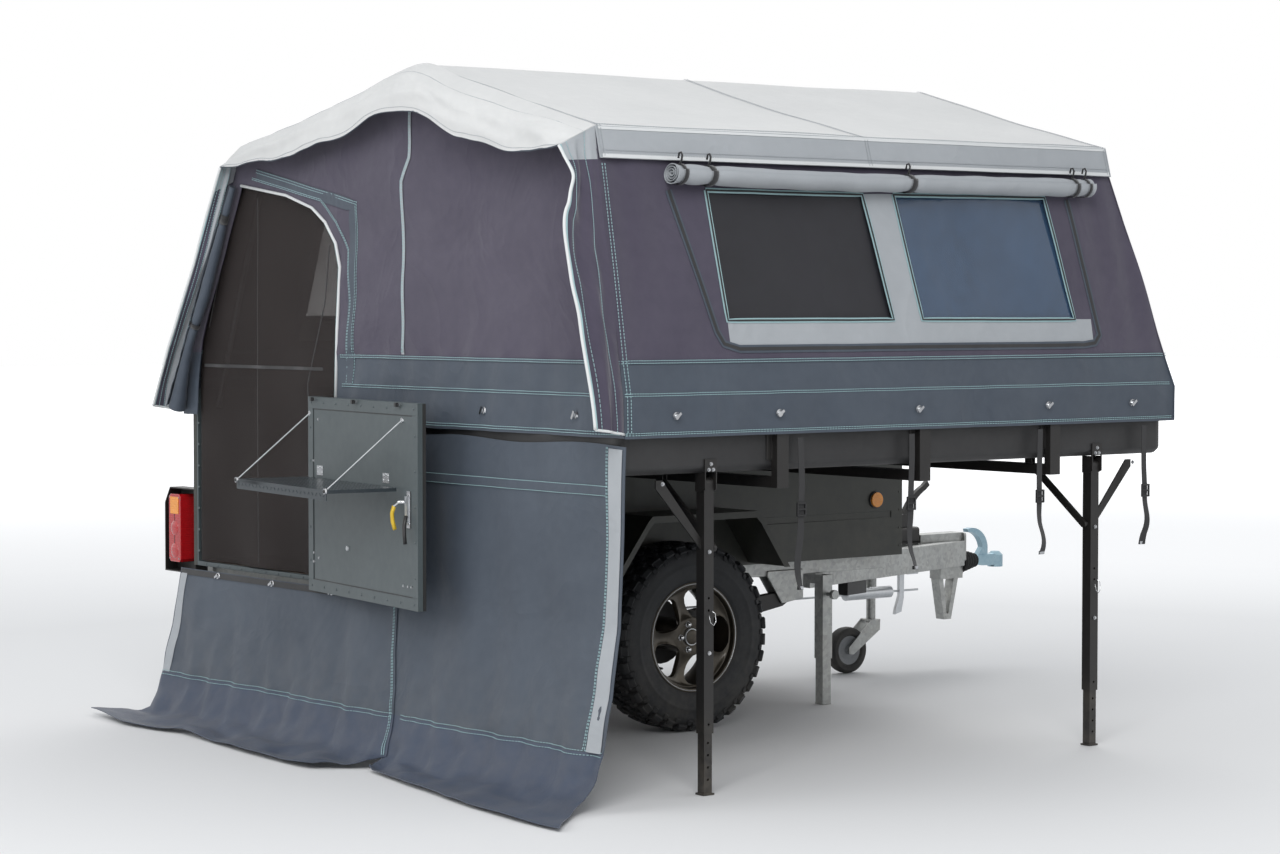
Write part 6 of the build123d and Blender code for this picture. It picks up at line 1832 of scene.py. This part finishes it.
roundSettings = {
    "spring": {"x": -0.300, "reach": 0.560, "radius": 0.0205, "wire": 0.0052, "low": 0.409, "high": 0.517, "turns": 5.5,
               "steps": 99},
    "bellows": {"start": 1.7925, "end": 1.8915, "z": 0.460, "folds": 5, "radii": (0.0555, 0.0245, 0.0042, 0.020)},
    "jockey": {"place": (1.228, 0.740, 0.100),
               "tyre": ((0.062, -0.020), (0.070, -0.0265), (0.088, -0.0275), (0.0965, -0.0215), (0.0995, -0.008),
                        (0.0995, 0.008), (0.0965, 0.0215), (0.088, 0.0275), (0.070, 0.0265), (0.062, 0.020)),
               "hub": ((0.010, -0.024), (0.017, -0.024), (0.019, -0.010), (0.040, -0.007), (0.055, -0.016),
                       (0.0625, -0.019), (0.0625, 0.019), (0.055, 0.016), (0.040, 0.007), (0.019, 0.010),
                       (0.017, 0.024), (0.010, 0.024))},
    "mattress": {"low": (-1.547, -1.342, 1.0675), "high": (0.742, -0.138, 1.1735), "round": 0.032, "cuts": (46, 24),
                 "soft": 1.10},
}


def finishRound(bm, sharp):
    allOutward(bm)
    smoothShade(bm, sharp)


def buildSprings(settings):
    bm = bmesh.new()
    low, high, steps = settings["low"], settings["high"], settings["steps"]
    for side in (-1, 1):
        path = []
        for step in range(steps + 1):
            turn = 2 * math.pi * settings["turns"] * step / steps
            path.append((settings["x"] + settings["radius"] * math.cos(turn), midY + side * settings["reach"]
                         + settings["radius"] * math.sin(turn), low + (high - low) * step / steps))
        tubeAlong(bm, path, settings["wire"], 8)
    allOutward(bm)
    keepPiece("coil_springs", bm, [hard["blackPaint"]], "box", ("springs",))


def buildBellows(settings):
    start, end, folds = settings["start"], settings["end"], settings["folds"]
    wide, taper, depth, inside = settings["radii"]
    section = []
    for step in range(folds * 8 + 1):
        share = step / (folds * 8)
        radius = wide - taper * share - depth * (1 - math.cos(2 * math.pi * folds * share))
        section.append((radius, start + (end - start) * share))
    bm = bmesh.new()
    spunRing(bm, [*section, (inside, end), (inside, start)], Vector((0, 0, 0)), 1, 48)
    bmesh.ops.rotate(bm, verts=bm.verts, cent=(0, 0, 0), matrix=Matrix.Rotation(-math.pi / 2, 3, "Z"))
    bmesh.ops.translate(bm, verts=bm.verts, vec=(0, midY, settings["z"]))
    finishRound(bm, 60)
    keepPiece("bellows_round", bm, [hard["softRubber"]], "box", ("bellows",))


def buildJockeyWheel(settings):
    bm = bmesh.new()
    spunRing(bm, settings["tyre"], Vector(settings["place"]), 1, 56)
    spunRing(bm, settings["hub"], Vector(settings["place"]), 1, 40, 1)
    finishRound(bm, 32)
    keepPiece("jockey_tyre", bm, [hard["softRubber"], hard["greyHub"]], "jockey_roller",
              ("jockey_wheel",))


def buildMattress(settings):
    low, high = Vector(settings["low"]), Vector(settings["high"])
    bm = bmesh.new()
    matrix = Matrix.Translation((low + high) / 2) @ Matrix.Diagonal((*(high - low), 1))
    bmesh.ops.create_cube(bm, size=1.0, matrix=matrix)
    for axis, count in enumerate(settings["cuts"]):
        for step in range(1, count):
            place, normal = low.copy(), Vector((0, 0, 0))
            place[axis] += (high - low)[axis] * step / count
            normal[axis] = 1
            cutPlane(bm, place, normal)
    bevelEdges(bm, sharpEdges(bm, 50), settings["round"], 4)
    layer = bm.loops.layers.uv.new("cloth")
    for face in bm.faces:
        face.smooth = True
        for loop in face.loops:
            loop[layer].uv = (loop.vert.co.x + loop.vert.co.z, loop.vert.co.y + loop.vert.co.z)
    for vert in bm.verts:
        if vert.co.z > settings["soft"]:
            vert.co.z -= 0.003 + wrinkle(vert.co, 0.30, 0.004)
    keepPiece("mattress_soft", bm, [cloths["bedding"]], "lid", ("mattress",))


buildSprings(roundSettings["spring"])
buildBellows(roundSettings["bellows"])
buildJockeyWheel(roundSettings["jockey"])
buildMattress(roundSettings["mattress"])
print("round pieces turned")
